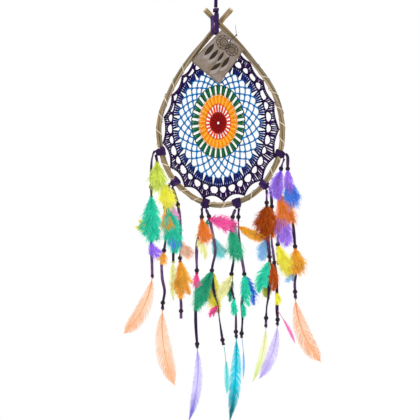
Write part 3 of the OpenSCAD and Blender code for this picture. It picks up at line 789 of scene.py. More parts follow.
@dataclass
class Strand:
    """One suede lace with its beads, knots, tufts and long feather."""

    number: int
    route: list[tuple[float, float]]
    beads: list[int]
    tufts: list[Tuft]
    quills: list[tuple[int, float, float, float, str]] = field(default_factory=list)
    long_feather: LongFeather | None = None
    width: float = 5.5
    thick: float = 1.4
    tone: str = "#2a1838"
    # paler tone that the lace takes in patches along its length
    pale_patch_tone: str = "#74507f"
    tuft_side_room: float = 8.0

    def top(self, frame: dict) -> Array:
        """Find the point that the lace swings on."""
        for joint in frame["joints"]:
            if joint["name"] == f"strand_{self.number}_swing":
                return np.array(joint["pos_m"]) / MM
        raise LookupError(f"no joint for strand {self.number}")

    def place(self, top: Array, at: float) -> Array:
        """Find a place along the route.

        Args:
            top: Point that the lace swings on.
            at: Route point number, with a fraction on the way to the next.

        Returns:
            The place in millimetres.
        """
        i = min(int(at), len(self.route) - 2)
        a, b = np.array(self.route[i]), np.array(self.route[i + 1])
        x, z = a + (b - a) * (at - i)
        return top + np.array([x, 0.0, z])

    def build_lace(self, frame: dict) -> None:
        """Hang the lace as a cord of flat suede that turns on itself and is drawn in at each bead.

        Args:
            frame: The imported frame.
        """
        top = self.top(frame)
        rng = np.random.default_rng(40 + self.number)
        nodes = np.array([top + np.array([x, 0.0, z]) for x, z in self.route])
        path = smooth_line(nodes, 7)
        reach = reach_along(path)
        pinch = np.zeros(len(path))
        for i in self.beads:
            pinch = np.maximum(pinch, np.exp(-(np.linalg.norm(path - nodes[i], axis=1) / 5.5) ** 2))
        pinch = np.maximum(pinch, np.exp(-(reach / 5) ** 2) * 0.6)
        twist = 0.5 * np.sin(reach / rng.uniform(17, 26) + rng.uniform(0, 6))
        twist += 0.9 * np.sin(reach / rng.uniform(38, 55) + rng.uniform(0, 6))
        twist *= 1 - 0.7 * pinch
        width = self.width * (1 - 0.3 * pinch) * (1 + 0.05 * np.sin(reach / 9 + self.number))
        thick = self.thick * (1 + 0.9 * pinch)
        base = linear(self.tone)
        # the suede turns paler in drifting patches along the lace, but not where it is drawn in at a bead
        mood = np.clip(0.5 + 0.5 * np.sin(reach / rng.uniform(22, 40) + rng.uniform(0, 6)), 0, 1) ** 2
        skin = Skin()
        skin.strap(path, width, thick, blend(base, linear(self.pale_patch_tone), 0.7 * mood * (1 - pinch)),
                   twist=twist)
        if self.long_feather:
            self.knot(skin, nodes[-1], base)
        made = skin.build(f"Suede_lace_{self.number}", SUEDE, f"strand_{self.number}", "suede",
                          [f"lace_{self.number}"])

    def knot(self, skin: Skin, centre: Array, tone: Array) -> None:
        """Tie a small overhand knot.

        Args:
            skin: Skin of the lace.
            centre: Where the knot sits.
            tone: Colour of the suede.
        """
        for lean, size in ((0.5, 2.1), (-0.6, 1.9)):
            ring = swing(round_angles(20), size * (RIGHT + lean * UP), size * BACK)
            out = unit(ring * np.array([1, 1, 0.2]))
            skin.strap(centre + ring + UP * (0.6 * np.sign(lean) + 0.8), 2.6, 1.5, tone, out, closed=True)

    def tie(self, skin: Skin, centre: Array, radii: tuple[float, float], drops: Sequence[float],
            thread_r: float, tone: Array, sides: int) -> None:
        """Wind turns of binding thread round the quills.

        Args:
            skin: Skin that takes the faces.
            centre: Middle of the highest turn.
            radii: Half width and half depth of a turn.
            drops: How far below the centre each turn lies.
            thread_r: Radius of the thread.
            tone: Colour of the thread.
            sides: Sides of the thread's section.
        """
        ring = swing(round_angles(2 * sides), radii[0] * RIGHT, radii[1] * BACK)
        for drop in drops:
            skin.tube(centre + ring - drop * UP, thread_r, tone, sides=sides, facing=UP, closed=True)

    def build_tufts(self, frame: dict) -> None:
        """Tie the small feathers to the lace, each on a short bare quill.

        Args:
            frame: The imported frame.
        """
        top = self.top(frame)
        skin = Skin()
        for k, tuft in enumerate(self.tufts):
            foot = self.place(top, tuft.place) + np.array([0, -2.4 * tuft.layer, -1.0])
            tip = foot + np.array([tuft.tip_x, -1.2 * tuft.layer, tuft.tip_z])
            seed = self.number * 100 + k
            rng = np.random.default_rng(seed)
            tones = tones_of(tuft.dye.value)
            Plume(foot, tip, tuft.half_width * 0.92, tones, bow=rng.uniform(-5, 5), softness=0.75, bare=2.0,
                  shaft_d=0.8, camber=-1.2 * tuft.layer, seed=seed).put_on(skin)
            # shorter plumes of the same dye fill each bunch on both sides
            fill = ((-1, 0.78), (1, 0.68))
            if tuft.half_width >= self.tuft_side_room:
                fill = ((-1, 0.8), (1, 0.7), (-0.5, 0.95), (0.55, 0.9))
            run = np.array([tuft.tip_x, tuft.tip_z])
            across = np.array([run[1], -run[0]]) / np.linalg.norm(run)
            for lap, (side, drop) in enumerate(fill):
                spread = side * tuft.half_width * rng.uniform(0.45, 1.3)
                x, z = run * drop * rng.uniform(0.85, 1.12) + across * spread
                tip2 = foot + np.array([x, (-2.0 - rng.random()) * tuft.layer, z])
                shade = rng.uniform(0.78, 1.25)
                Plume(foot, tip2, tuft.half_width * 0.66, tuple(np.clip(c * shade, 0, 1) for c in tones),
                      bow=side * rng.uniform(1, 4), softness=0.95, bare=1.0, shaft_d=0.6,
                      camber=-1.0 * tuft.layer, seed=seed + 50 + lap).put_on(skin)
            self.tie(skin, self.place(top, tuft.place) + np.array([0, -0.7 * tuft.layer, -0.6]), (2.6, 1.9),
                     (0.0, 0.9, 1.8), 0.5, tones[0] * 0.7, 4)
        for at, x, z, half, dye in self.quills:
            foot = self.place(top, at) + np.array([0.5, -1.2, -1.0])
            Plume(foot, foot + np.array([x, 0, z]), half * 1.35, tones_of(Dye[dye].value), bow=2.0,
                  softness=0.12, bare=abs(z) * 0.3, shaft_d=1.0, camber=1.0,
                  seed=self.number * 7 + 3).put_on(skin)
        node = f"feathers_{self.number}"
        skin.build(f"Tufts_{self.number}", FEATHER, f"strand_{self.number}", slot_of(frame, node), [node])

    def build_long_feather(self, frame: dict) -> None:
        """Hang the long feather from the knot, if the strand has one.

        Args:
            frame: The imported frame.
        """
        plan = self.long_feather
        if plan is None:
            return
        node = f"plume_{self.number}"
        top = self.top(frame) + np.array([self.route[-1][0], 0.0, self.route[-1][1] - 1.5])
        tones = tones_of(plan.dye[:3])
        skin = Skin()
        Plume(top, top + np.array([plan.tip_x, 0, plan.tip_z]), plan.half_width, tones, bow=plan.bow,
              softness=0.07, bare=4.0, shaft_d=plan.shaft_d, camber=2.0, tip_tone=linear(plan.dye[3]),
              seed=900 + self.number).put_on(skin)
        self.tie(skin, top, (1.3, 1.3), (0.3, 1.1), 0.45, tones[0] * 0.55, 5)
        skin.build(f"Long_feather_{self.number}", FEATHER, f"long_feather_{self.number}",
                   slot_of(frame, node), [node])

    def dress_beads(self, frame: dict) -> None:
        """Lacquer the turned beads."""
        dress(frame, f"beads_{self.number}", BEAD)


def slot_of(frame: dict, node: str) -> str:
    """Look up the record's material slot of a node."""
    for part in frame["record"]["subparts"]:
        if part["node"] == node:
            return part["material_slot"]
    raise LookupError(node)


def dress(frame: dict, node: str, finish: Finish) -> None:
    """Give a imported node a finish.

    Args:
        frame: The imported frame.
        node: Name of the node.
        finish: Finish to put on.
    """
    piece = frame["nodes"][node]
    for slot in piece.material_slots:
        slot.material = finish.material()
    if not piece.material_slots:
        piece.data.materials.append(finish.material())
    LOG.info("%s: finished in %s", node, finish.name)


# short names for the table of strands
T = Tuft
D = Dye
STRANDS = [
    Strand(1, [(0, 0), (-3.5, -7), (-6, -24), (-6, -62), (-6, -110), (-6.5, -150), (-5, -190),
           (-4.5, -214)], [3], [
           T(3.3, -2, -74, 13.5, 1, D.TEAL), T(4.2, -24, -12, 6.5, 1, D.YELLOW),
           T(5.1, 12, -24, 7.5, 1, D.VIOLET), T(4.2, 11, -31, 7, -1, D.GREEN)],
           long_feather=LongFeather(-47, -94, 12.5, 9, ("#f7ac82", "#fccaa6", "#fedcc2", "#fbb884"), 1.8)),
    Strand(2, [(0, 0), (2, -10), (6, -24), (12, -50), (16, -90), (17, -136), (14, -163), (10, -180),
           (11, -210), (15, -232), (12, -252), (11.5, -262)], [4, 6, 10], [
           T(1.1, 1, -48, 12, 1, D.LIME), T(2.9, 9, -41, 12.5, 1, D.YELLOW),
           T(4.1, 5, -34, 9, 1, D.AMBER), T(6.1, -3, -20, 6, 1, D.AMBER)],
           long_feather=LongFeather(20, -127, 13.5, -8, ("#f7ac82", "#fdd0ae", "#fedfc8", "#fbbe8c"), 1.8)),
    Strand(3, [(0, 0), (-1, -9), (1, -30), (4.5, -60), (6.5, -95), (6.5, -132)], [2], [
           T(2.1, 6, -80, 13, 1, D.TEAL), T(2.1, 15, -28, 5, 1, D.PINK), T(3.6, 5, -27, 8, 1, D.BLUE),
           T(5, 1, -65, 5, 0, D.CREAM)]),
    Strand(4, [(0, 0), (4, -10), (10, -30), (14, -60), (14.5, -92), (14, -121), (13, -166),
           (15.5, -198), (15.5, -211), (15.5, -224)], [2, 5, 8], [
           T(4, 16, -26, 8, 1, D.PEACH), T(5.1, 0, -62, 8.5, 1, D.AMBER), T(5.1, 16, -56, 7, 1, D.AMBER)]),
    Strand(5, [(0, 0), (0, -15), (-3.5, -37), (-8, -59), (-9, -83), (-8.5, -106), (-9.5, -139),
           (-10.5, -177), (-10, -204), (-8, -231), (-8, -236)], [1, 5, 9], [
           T(1.1, 6, -38, 10, 1, D.ORANGE), T(2.7, 12, -33, 5, 1, D.CREAM),
           T(5.1, 2, -26, 5, 1, D.MAGENTA)],
           long_feather=LongFeather(-14, -124, 8.0, 7, ("#a59cf0", "#d2c8fb", "#ece6ff", "#6a60d0"), 1.5)),
    Strand(6, [(0, 0), (5, -12), (10, -35), (14.5, -59), (15.5, -75), (10, -104), (12.5, -135),
           (19, -161), (23, -188), (28, -222), (30, -231)], [1, 5, 9], [
           T(1.1, -2, -18, 3, -1, D.GREEN), T(1.1, 42, -14, 10.5, 1, D.MAGENTA),
           T(2.5, 15, -33, 8, -1, D.CYAN), T(5, -26, -66, 11, 1, D.GREEN),
           T(5, 8, -69, 11, -1, D.YELLOW), T(7.1, -13, -19, 3.5, 1, D.MAGENTA)],
           quills=[(10, 5, -82, 3.2, "CYAN")]),
    Strand(7, [(0, 0), (-4.5, -13), (-7.5, -39), (-5.5, -72), (-3, -86), (-6.5, -110), (-6.5, -134),
           (0, -161), (1, -185), (1, -208), (1.5, -217)], [1, 5, 9], [
           T(1.8, 11, -49, 11, 1, D.GREEN), T(1.1, -3, -61, 7, -1, D.CYAN),
           T(5.1, -20, -40, 7, 1, D.CREAM), T(5.1, -3, -44, 5, -1, D.GREEN),
           T(6.6, 0, -28, 5, 1, D.TEAL)],
           long_feather=LongFeather(-11, -141, 9.5, 4, ("#0fa6ba", "#14cce2", "#6ee8f2", "#024a54"), 1.7)),
    Strand(8, [(0, 0), (-1, -15), (0.5, -54), (3, -75), (9, -112), (9, -136), (5, -161), (6, -186),
           (4.5, -213), (4.5, -221)], [1, 4, 8], [
           T(1.4, 39, -20, 8, 1, D.AMBER), T(4, 8, -53, 7, 1, D.TEAL), T(4, 16, -51, 7, -1, D.BLUE),
           T(4, -1, -41, 5, -1, D.VIOLET), T(6, 2, -23, 4, 1, D.TEAL)],
           quills=[(9, 2, -68, 1.6, "SKY")]),
    Strand(9, [(0, 0), (0, -22), (1.5, -60), (3, -94), (5, -114), (5.5, -145), (3, -180), (0, -199),
           (-1, -218), (-1.5, -232)], [1, 4, 8], [
           T(1.1, -5, -54, 13, 1, D.BROWN), T(1.1, 10, -52, 11, 1, D.RUST),
           T(2.5, -10, -40, 9, -1, D.SKY), T(4.2, -20, -50, 8, 1, D.TEAL),
           T(4.2, -6, -61, 8, -1, D.OLIVE), T(4.2, 6, -50, 7, 1, D.RUST)],
           long_feather=LongFeather(-22, -92, 6.0, 5, ("#dfe39a", "#f0f2ba", "#fbfde0", "#d8e890"), 1.2)),
    Strand(10, [(0, 0), (3, -14), (4, -34), (4, -90), (6, -108), (8.5, -129), (12, -159), (13, -189),
           (13, -209), (14, -226), (13.5, -234)], [2, 5, 9], [
           T(6.7, 2, -18, 5, 1, D.YELLOW)],
           quills=[(8, 30, -56, 2.2, "PINK")],
           long_feather=LongFeather(-30, -90, 9.0, 7, ("#b9aeea", "#d5c6f5", "#efe6ff", "#b9a6ee"), 1.4)),
    Strand(11, [(0, 0), (-5.5, -17), (-6.5, -37), (-8, -95), (-11, -146), (-9.5, -181)], [1, 4], [
           T(1.1, -10, -45, 10.5, 1, D.VIOLET), T(2.4, 14, -46, 13, 1, D.ORANGE),
           T(2.8, 12, -62, 11.5, 1, D.LILAC), T(4, 19, -49, 10, 1, D.YELLOW)]),
    Strand(12, [(0, 0), (3.5, -7), (3.5, -26), (6, -62), (12.5, -121), (16, -158), (18.5, -184),
           (18, -203), (15.5, -220), (16, -235), (16.5, -245)], [2, 5, 9], [
           T(2, 2, -38, 8, 1, D.VIOLET), T(2.5, 9, -42, 12, 1, D.BLUE),
           T(5.1, 7, -40, 12, 1, D.AMBER), T(6.6, -14, -22, 6, -1, D.SKY)],
           long_feather=LongFeather(42, -106, 13.5, -9, ("#f6a47a", "#fcc49e", "#fed8bc", "#fbb482"), 1.8)),
]


# ---------------------------------------------------------------- hoop
@dataclass
class Hoop:
    """Three twisted canes bent to a drop, their binding strip and the suede wraps."""

    half_width: float = 105.0
    lean: float = 8.0
    cross_x: float = 5.0
    above: float = 182.0
    below: float = 126.0
    stick: float = 34.0
    cane_r: float = 2.3
    ring_r: float = 2.771
    turns: int = 3
    bundle_r: float = 5.071
    cross_y: float = 5.321
    lean_run: float = 60.0
    strip_turns: int = 22
    wrap_at: tuple[float, ...] = (164, 137, 104, 75, 46, 18)
    cross_z: float = -99.68
    cane_tones: tuple[tuple[str, str], ...] = (("outer", "#a89070"), ("inner", "#86765a"),
                                               ("back", "#977c52"))
    sawn_tone: str = "#e0cfae"
    strip_tone: str = "#dccfb4"
    strip_w: float = 1.7
    strip_thick: float = 0.4
    wrap_r: float = 6.35
    wrap_l: float = 10.6
    laps: float = 3.4
    lap_w: float = 5.4
    cross_r: float = 7.5
    cross_w: float = 4.4
    hitch_out: float = 8.0
    hitch_w: float = 3.0
    lace_thick: float = 1.2
    # the wraps' own dark suede tone, and the lit purple of a painted highlight
    lap_tone_and_painted_highlight: tuple[str, str] = ("#25143a", "#43265f")
    cross_tone: str = "#2c1744"
    hitch_tone: str = "#2f1945"

    @property
    def wide_z(self) -> float:
        """Height of the widest place."""
        return self.cross_z - self.above

    def side(self, s: int, t: float) -> Array:
        """Place a point on the right (1) or left (-1) side, t above the widest place."""
        a = math.radians(90 * t / self.above)
        return np.array([(s * self.half_width + self.lean) * math.cos(a) + self.cross_x * math.sin(a), 0.0,
                         self.wide_z + t])

    def bowl(self, degrees: float) -> Array:
        """Place a point on the lower half, from 0 at the right to 180 at the left."""
        a = math.radians(degrees)
        return np.array([self.lean + self.half_width * math.cos(a), 0.0,
                         self.wide_z - self.below * math.sin(a)])

    def bowl_dir(self, degrees: float) -> Array:
        """Give the hoop's direction on the lower half."""
        a = math.radians(degrees)
        return unit(np.array([-self.half_width * math.sin(a), 0.0, -self.below * math.cos(a)]))

    def ease(self, d: float) -> float:
        """Say how far the canes lean forward or back, d below the crossing."""
        return 0.0 if d >= self.lean_run else math.cos(math.radians(90 * d / self.lean_run)) ** 2

    def spine(self) -> Array:
        """Run the middle line of the canes from the left stick end round to the right one."""
        steps = []
        for s, order in ((1, (1.0, 2 / 3, 1 / 3)), (-1, (1 / 3, 2 / 3, 1.0))):
            way = unit(self.side(s, self.above) - self.side(s, self.above - 4))
            front = FRONT * s * self.cross_y
            sticks = [self.side(s, self.above) + way * self.stick * f + front for f in order]
            ts = [self.above * (1 - k / 13 if s == 1 else k / 13) for k in range(14)]
            sides = [self.side(s, t) + front * self.ease(self.above - t) for t in ts]
            steps.append((sticks, sides))
        bowl = [self.bowl(180 * k / 26) for k in range(1, 26)]
        return np.array(steps[0][0] + steps[0][1] + bowl + steps[1][1] + steps[1][0])

    def build(self) -> None:
        """Build the canes, the strip and the wraps."""
        spine = self.spine()
        count = len(spine)
        per = 7
        line = smooth_line(spine, per)
        u = np.arange(len(line)) / per
        along = unit(np.gradient(line, axis=0))
        side = unit(np.cross(along, BACK))
        for index, (name, tone) in enumerate(self.cane_tones):
            a = np.radians(120 * index + 30 + 360 * self.turns * u / (count - 1))
            path, _ = coil(line, a, side, BACK, self.ring_r)
            rng = np.random.default_rng(5 + index)
            reach = np.arange(len(path)) * 2.1
            swell = sum(rng.uniform(0.2, 1) * np.sin(reach / rng.uniform(9, 60) + rng.uniform(0, 6))
                        for _ in range(4))
            radius = self.cane_r * (0.985 + 0.022 * swell)
            tint = linear(tone) * (1 + 0.1 * np.sin(reach / 47 + index))[:, None]
            # the sawn ends show pale wood
            tint[:2] = tint[-2:] = linear(self.sawn_tone)
            skin = Skin()
            skin.tube(path, radius, tint, sides=14)
            skin.build(f"Cane_{name}", CANE, "hoop", "rattan", [f"rod_{name}"])
        self.bind(spine)
        self.wrap()

    def bind(self, spine: Array) -> None:
        """Wind the pale strip of cane skin round the bundle.

        Args:
            spine: The bundle's middle line.
        """
        per_turn, cuts, clear = 28, 20, 8
        n = self.strip_turns * per_turn
        # the strip leaves the stick ends and the crossing bare
        u = clear + (len(spine) - 1 - 2 * clear) * np.arange(n + 1) / n
        fine = smooth_line(spine, cuts)
        grid = np.arange(len(fine)) / cuts
        line = np.stack([np.interp(u, grid, fine[:, k]) for k in range(3)], 1)
        side = unit(np.cross(unit(np.gradient(line, axis=0)), BACK))
        path, out = coil(line, 2 * math.pi * np.arange(n + 1) / per_turn, side, BACK, self.bundle_r + 0.22)
        skin = Skin()
        skin.strap(path, self.strip_w, self.strip_thick, linear(self.strip_tone), out)
        skin.build("Cane_binding", BARK, "hoop", "bark", ["binding_strip"])

    def wrap(self) -> None:
        """Wind suede round the hoop at six places, lap over lap, and tuck the end under a crossing turn."""
        skin = Skin()
        for k, degrees in enumerate(self.wrap_at):
            rng = np.random.default_rng(70 + k)
            centre, way = self.bowl(degrees), self.bowl_dir(degrees)
            out_x = unit(np.cross(way, BACK))
            t = np.linspace(0, 1, 90)
            a = 2 * math.pi * self.laps * t + rng.uniform(0, 6)
            bulge = self.wrap_r + 0.3 * np.sin(math.pi * t) + 0.12 * np.sin(a * 1.3)
            path, ring = coil(centre, a, out_x, BACK, bulge, way, (t - 0.5) * self.wrap_l)
            # painted highlight: each lap runs from the dark suede tone to a lit purple on one side of the
            # hoop, a soft highlight painted into the colour
            mood = 0.5 + 0.5 * np.sin(a + rng.uniform(0, 6))
            tint = blend(*tones_of(self.lap_tone_and_painted_highlight), mood ** 3)
            skin.strap(path, self.lap_w, 1.5, tint, ring, twist=0.1)
            # the crossing turn runs aslant over the laps at the front and ends outside
            t = np.linspace(-1.25, 1.25, 22)
            slant = t * 2.0 * (1 if k % 2 else -1)
            path, ring = coil(centre, t - math.pi / 2, out_x, BACK, self.cross_r, way, slant)
            skin.strap(path, self.cross_w, self.lace_thick, linear(self.cross_tone), ring)
            # the hitch that both laces leave by
            outward = out_x if out_x @ (centre - np.array([self.lean, 0, self.wide_z])) > 0 else -out_x
            ring = swing(round_angles(18), way * 4.4, BACK * 2.2)
            skin.strap(centre + outward * self.hitch_out + ring - UP * 0.4, self.hitch_w, self.lace_thick,
                       linear(self.hitch_tone), unit(ring), closed=True)
        skin.build("Suede_wraps", SUEDE, "hoop", "suede", ["suede_wraps"])


# ---------------------------------------------------------------- hanger
@dataclass
class Hanger:
    """The hanging loop, its knot and the straps that lash the crossing."""

    loop_h: float = 72.0
    loop_w: float = 15.0
    lace_r: float = 1.8
    lace_w: float = 4.4
    knot_h: float = 8.5
    loop_tones: tuple[str, str] = ("#2e1a46", "#7a4b8f")
    knot_tone: str = "#28143a"
    bar_tone: str = "#3a2152"
    tail_tone: str = "#33204c"
    # each strap of the lashing: x, half height, how far down, half depth, width, tone
    straps: tuple[tuple[float, float, float, float, float, str], ...] = (
        (1.2, 17.9, 0.0, 11.9, 7.4, "#2f1846"), (-6.0, 15.6, 1.6, 11.5, 6.0, "#47305f"))

    def build(self, hoop: Hoop) -> None:
        """Build all three.

        Args:
            hoop: The hoop that it carries.
        """
        self.build_loop()
        self.build_knot()
        self.build_lashing(hoop)

    def build_loop(self) -> None:
        """Run the lace from the knot up over the hook and down again."""
        half, top, z0 = self.loop_w / 2, self.lace_r, -self.loop_h + self.lace_r + 0.3
        right = [(1.4, z0 - 1.6), (1.4, z0), (1.9, z0 + self.loop_h * 0.25),
                 (half * 0.75, z0 + self.loop_h * 0.5), (half, top - half * 1.5),
                 (half * 0.75, top - half * 0.45), (0.0, top)]
        places = [(-x, 0.0, z) for x, z in right] + [(x, 0.0, z) for x, z in right[-2::-1]]
        path = smooth_line(places, 6)
        reach = reach_along(path)
        twist = 0.75 + 0.4 * np.sin(reach / 21)
        tint = blend(*tones_of(self.loop_tones), 0.3 * (0.5 + 0.5 * np.sin(reach / 15)) ** 2)
        skin = Skin()
        skin.strap(path, self.lace_w, 1.5, tint, twist=twist)
        made = skin.build("Suede_hanging_loop", SUEDE, "loop", "suede", ["hanging_loop"])

    def build_knot(self) -> None:
        """Tie the fat knot under the loop from two turns and a crossing turn."""
        skin = Skin()
        base = UP * (-self.loop_h - self.knot_h)
        t = np.linspace(0, 1, 56)
        path, ring = coil(base, 2 * math.pi * 2.3 * t, RIGHT, BACK, 3.5 + 0.6 * np.sin(math.pi * t),
                          rise=2.0 + t * (self.knot_h - 4.0))
        skin.strap(path, 4.2, 1.6, linear(self.knot_tone), ring)
        t = np.linspace(-1.3, 1.3, 18)
        path, ring = coil(base, t, FRONT, RIGHT, 4.8, rise=self.knot_h / 2 + t * 1.7)
        skin.strap(path, 3.6, 1.3, linear(self.bar_tone), ring)
        skin.build("Suede_hanging_knot", SUEDE, "hanger", "suede", ["hanging_knot"])

    def build_lashing(self, hoop: Hoop) -> None:
        """Lay two straps round the crossing, the left one paler, with the end hanging at the front.

        Args:
            hoop: The hoop whose crossing is lashed.
        """
        low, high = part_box("top_lashing")
        mid_z = (low[2] + high[2]) / 2 / MM
        skin = Skin()
        for x, half_z, lower, half_y, width, tone in self.straps:
            a = round_angles(64)
            c, s = np.cos(a), np.sin(a)
            y = half_y * np.sign(c) * np.abs(c) ** 0.35
            up = half_z * np.sign(s) * np.abs(s) ** 0.55
            path = np.stack([x + 0.5 * np.sin(a * 2), y, mid_z - lower + up], 1)
            out = unit(np.stack([np.zeros(64), c, s * 0.6], 1))
            tint = linear(tone) * (0.85 + 0.3 * (np.sin(a * 2 + x) > 0))[:, None]
            skin.strap(path, width, 1.4, tint, out, closed=True)
        tail = smooth_line([(-5.6, -12.6, mid_z - 11), (-4.8, -12.9, mid_z - 16),
                            (-4.0, -12.8, mid_z - 20.5)], 6)
        skin.strap(tail, np.linspace(5.2, 0.9, len(tail)), 1.2, linear(self.tail_tone))
        skin.build("Suede_lashing", SUEDE, "hoop", "suede", ["top_lashing"])


# ---------------------------------------------------------------- web
class Yarn(Enum):
    """Yarns of the web's rounds from the centre out, each in the tones its stitches show."""

    DARK_RED = ("#8c1616",)
    CORAL = ("#ea4a26", "#f0602c", "#c4242a")
    ORANGE = ("#ea8408", "#f59a1c", "#fdb544")
    GREEN = ("#1a5232", "#2f7a4a", "#184a2c", "#246a3e")
    BLUE = ("#1c7cba", "#0d5fa6")
    NAVY = ("#161c50", "#222c78")
    PURPLE = ("#27103a", "#341c54")


@dataclass
class CrochetWeb:
    """The crochet web: seven rounds worked from the centre out in cotton yarn."""

    hoop: Hoop
    x: float = 4.0
    z: float = -268.03
    half_w: float = 14.0
    half_h: float = 18.0
    grow: float = 1.32
    cells: int = 28
    points: int = 18
    first_point: float = 0.765
    hole_edge: float = -10.7
    red_edge: float = -0.6
    coral_edge: float = 7.4
    petal_foot: float = 18.8
    green_edge: float = 31.6
    net_levels: tuple[float, ...] = (37.8, 44.4, 51.2, 58.6)
    block_foot: float = 57.8
    navy_edge: float = 67.2
    draw_from: float = 33.0
    rise_h: float = 4.5
    red_rings: int = 6
    coral_posts: int = 24
    orange_posts: int = 84
    eyelet_half: float = 4.9
    fan_r: float = 1.58
    point_gap: float = 5.9

    def at(self, turn: float | Array, out: float | Array, y: float | Array = 0.0) -> Array:
        """Place points by their turn round the web and their distance out from its hole.

        Args:
            turn: 0 at the right, 0.25 at the top, 1 a full turn.
            out: Distance out from the ring round the centre.
            y: Distance to the back.

        Returns:
            The places.
        """
        a = 2 * math.pi * np.asarray(turn, float)
        w = np.asarray(out, float)
        # the outer rounds draw in towards the top
        drawn = self.draw_from + (w - self.draw_from) * (0.945 + 0.05 * np.cos(a) - 0.07 * np.sin(a))
        w = np.where(w > self.draw_from, drawn, w)
        a, w, depth = np.broadcast_arrays(a, w, np.asarray(y, float))
        # the middle rounds stand a little higher over the centre than below it
        rise = (self.rise_h * np.clip(np.sin(a), 0, 1) ** 2 * np.clip(w / 7, 0, 1)
                * np.clip((55 - w) / 24, 0, 1))
        return np.stack([self.x + (self.half_w + w) * np.cos(a), depth,
                         self.z + (self.half_h + w * self.grow) * np.sin(a) + rise], -1)

    def post(self, skin: Skin, low: tuple, high: tuple, tone: Array, r: float, bulge: float = 0.25) -> None:
        """Work one stitch post: a short thick yarn that swells at its foot, middle and head.

        Args:
            skin: Skin of the round.
            low: Turn and width of its foot.
            high: Turn and width of its head.
            tone: Colour.
            r: Yarn radius.
            bulge: How far the middle stands to the front.
        """
        s = np.linspace(0, 1, 6)
        turn = low[0] + (high[0] - low[0]) * s
        out = low[1] + (high[1] - low[1]) * s
        path = self.at(turn, out, -bulge * np.sin(math.pi * s))
        skin.tube(path, r * (0.92 + 0.16 * s) * (1 + 0.12 * np.cos(s * 4 * math.pi)), tone)

    def chain(self, skin: Skin, path: Array, tone: Array, r: float, closed: bool = False) -> None:
        """Work a chain: a yarn whose thickness swells at each stitch and that waves to the front.

        Args:
            skin: Skin of the round.
            path: Its line.
            tone: Colour.
            r: Yarn radius.
            closed: Whether it joins its start.
        """
        steps = np.arange(len(path))
        line = path.copy()
        line[:, 1] += 0.25 * r * np.sin(steps * math.pi / 2)
        skin.tube(line, r * (1 + 0.22 * np.cos(steps * math.pi)), tone, closed=closed)

    def arc(self, skin: Skin, turns: Array, out: float | Array, tone: Array, r: float) -> None:
        """Work a short chain over some turns of the web."""
        self.chain(skin, self.at(turns, out), tone, r)

    def round_chain(self, skin: Skin, out: float, stitches: int, tone: Array, r: float) -> None:
        """Work a closed chain round the web at one width."""
        self.chain(skin, self.at(np.arange(stitches * 2) / (stitches * 2), out), tone, r, closed=True)

    def knot(self, skin: Skin, turn: float, out: float, tone: Array, r: float) -> None:
        """Work a small knot where yarns meet."""
        ring = swing(round_angles(6), RIGHT * r * 0.8, UP * r * 0.8)
        skin.tube(self.at(turn, out) + ring + FRONT * 0.2, r * 0.75, tone, sides=5, closed=True)

    def cast_off(self, skin: Skin, yarn: Yarn, node: str) -> None:
        """Make the piece of a finished round."""
        name = yarn.name.lower()
        skin.build(f"Crochet_{name}", YARN, "hoop", f"yarn_{name}", [node])

    def build(self) -> None:
        """Work the rounds in order, from the centre out."""
        for work in (self.centre, self.spokes, self.shell, self.petals, self.net, self.blocks, self.border):
            work()

    def centre(self) -> None:
        """Tight dark red stitches in rings about a small hole."""
        skin = Skin()
        red, = tones_of(Yarn.DARK_RED.value)
        for k, out in enumerate(np.linspace(self.hole_edge, self.red_edge, self.red_rings)):
            w, h = self.half_w + out, self.half_h + out * self.grow
            count = max(8, int(math.pi * (w + h) / 2.7))
            self.round_chain(skin, out, count, red * (0.8 + 0.08 * k), 1.5)
            for q in range(count):
                self.post(skin, ((q + 0.25) / count, out - 0.9), ((q + 0.5) / count, out + 0.9),
                          red * (0.9 + 0.3 * (q % 2)), 0.95, 1.1)
        self.cast_off(skin, Yarn.DARK_RED, "web_centre")

    def spokes(self) -> None:
        """Open coral posts with light between them."""
        skin = Skin()
        coral, outer, inner = tones_of(Yarn.CORAL.value)
        for q in range(self.coral_posts):
            turn = (q + 0.5) / self.coral_posts
            self.post(skin, (turn, self.red_edge - 0.6), (turn, self.coral_edge),
                      coral * (0.85 + 0.15 * (q % 2)), 1.85)
        self.round_chain(skin, self.coral_edge - 0.2, 46, outer, 1.1)
        self.round_chain(skin, self.red_edge - 0.2, 40, inner, 1.1)
        self.cast_off(skin, Yarn.CORAL, "web_red")

    def shell(self) -> None:
        """A dense orange round of long posts, every third one paler."""
        skin = Skin()
        tones = tones_of(Yarn.ORANGE.value)
        count = self.orange_posts
        for q in range(count):
            jag = 0.9 * math.cos(q * 2 * math.pi / 3)
            self.post(skin, (q / count, self.coral_edge), ((q + 0.2) / count, 18.4 + jag), tones[q % 3], 1.55,
                      0.6 + 0.4 * (q % 3))
        self.round_chain(skin, self.coral_edge + 0.5, count, tones[0], 0.8)
        for q in range(self.cells):
            self.post(skin, ((q + 0.5) / self.cells, 17), ((q + 0.5) / self.cells, 21.6), tones[1], 0.6)
        self.cast_off(skin, Yarn.ORANGE, "web_orange")

    def petals(self) -> None:
        """Dark green petals of four fat posts with a pale slot between petals, and an edge chain."""
        skin = Skin()
        tones = tones_of(Yarn.GREEN.value)
        step = 1 / self.cells
        edge = self.green_edge
        for q in range(self.cells):
            mid = q * step
            for k, place in enumerate((-0.3, -0.1, 0.1, 0.3)):
                self.post(skin, (mid + place * step * 0.7, self.petal_foot + 0.8 * (k % 2)),
                          (mid + place * step * 0.9, edge - 1.0), tones[k], 1.1, 0.8)
            self.arc(skin, mid + step * np.linspace(-0.42, 0.42, 9), edge - 0.4, tones[0], 1.0)
            self.arc(skin, mid + step * np.linspace(0.36, 0.64, 5), edge, tones[2], 0.8)
        self.cast_off(skin, Yarn.GREEN, "web_green")

    def net(self) -> None:
        """An open blue net: staggered pointed arches of chain with a knot at each meeting."""
        skin = Skin()
        blue, deep = tones_of(Yarn.BLUE.value)
        levels = (self.green_edge, *self.net_levels)
        rng = np.random.default_rng(12)
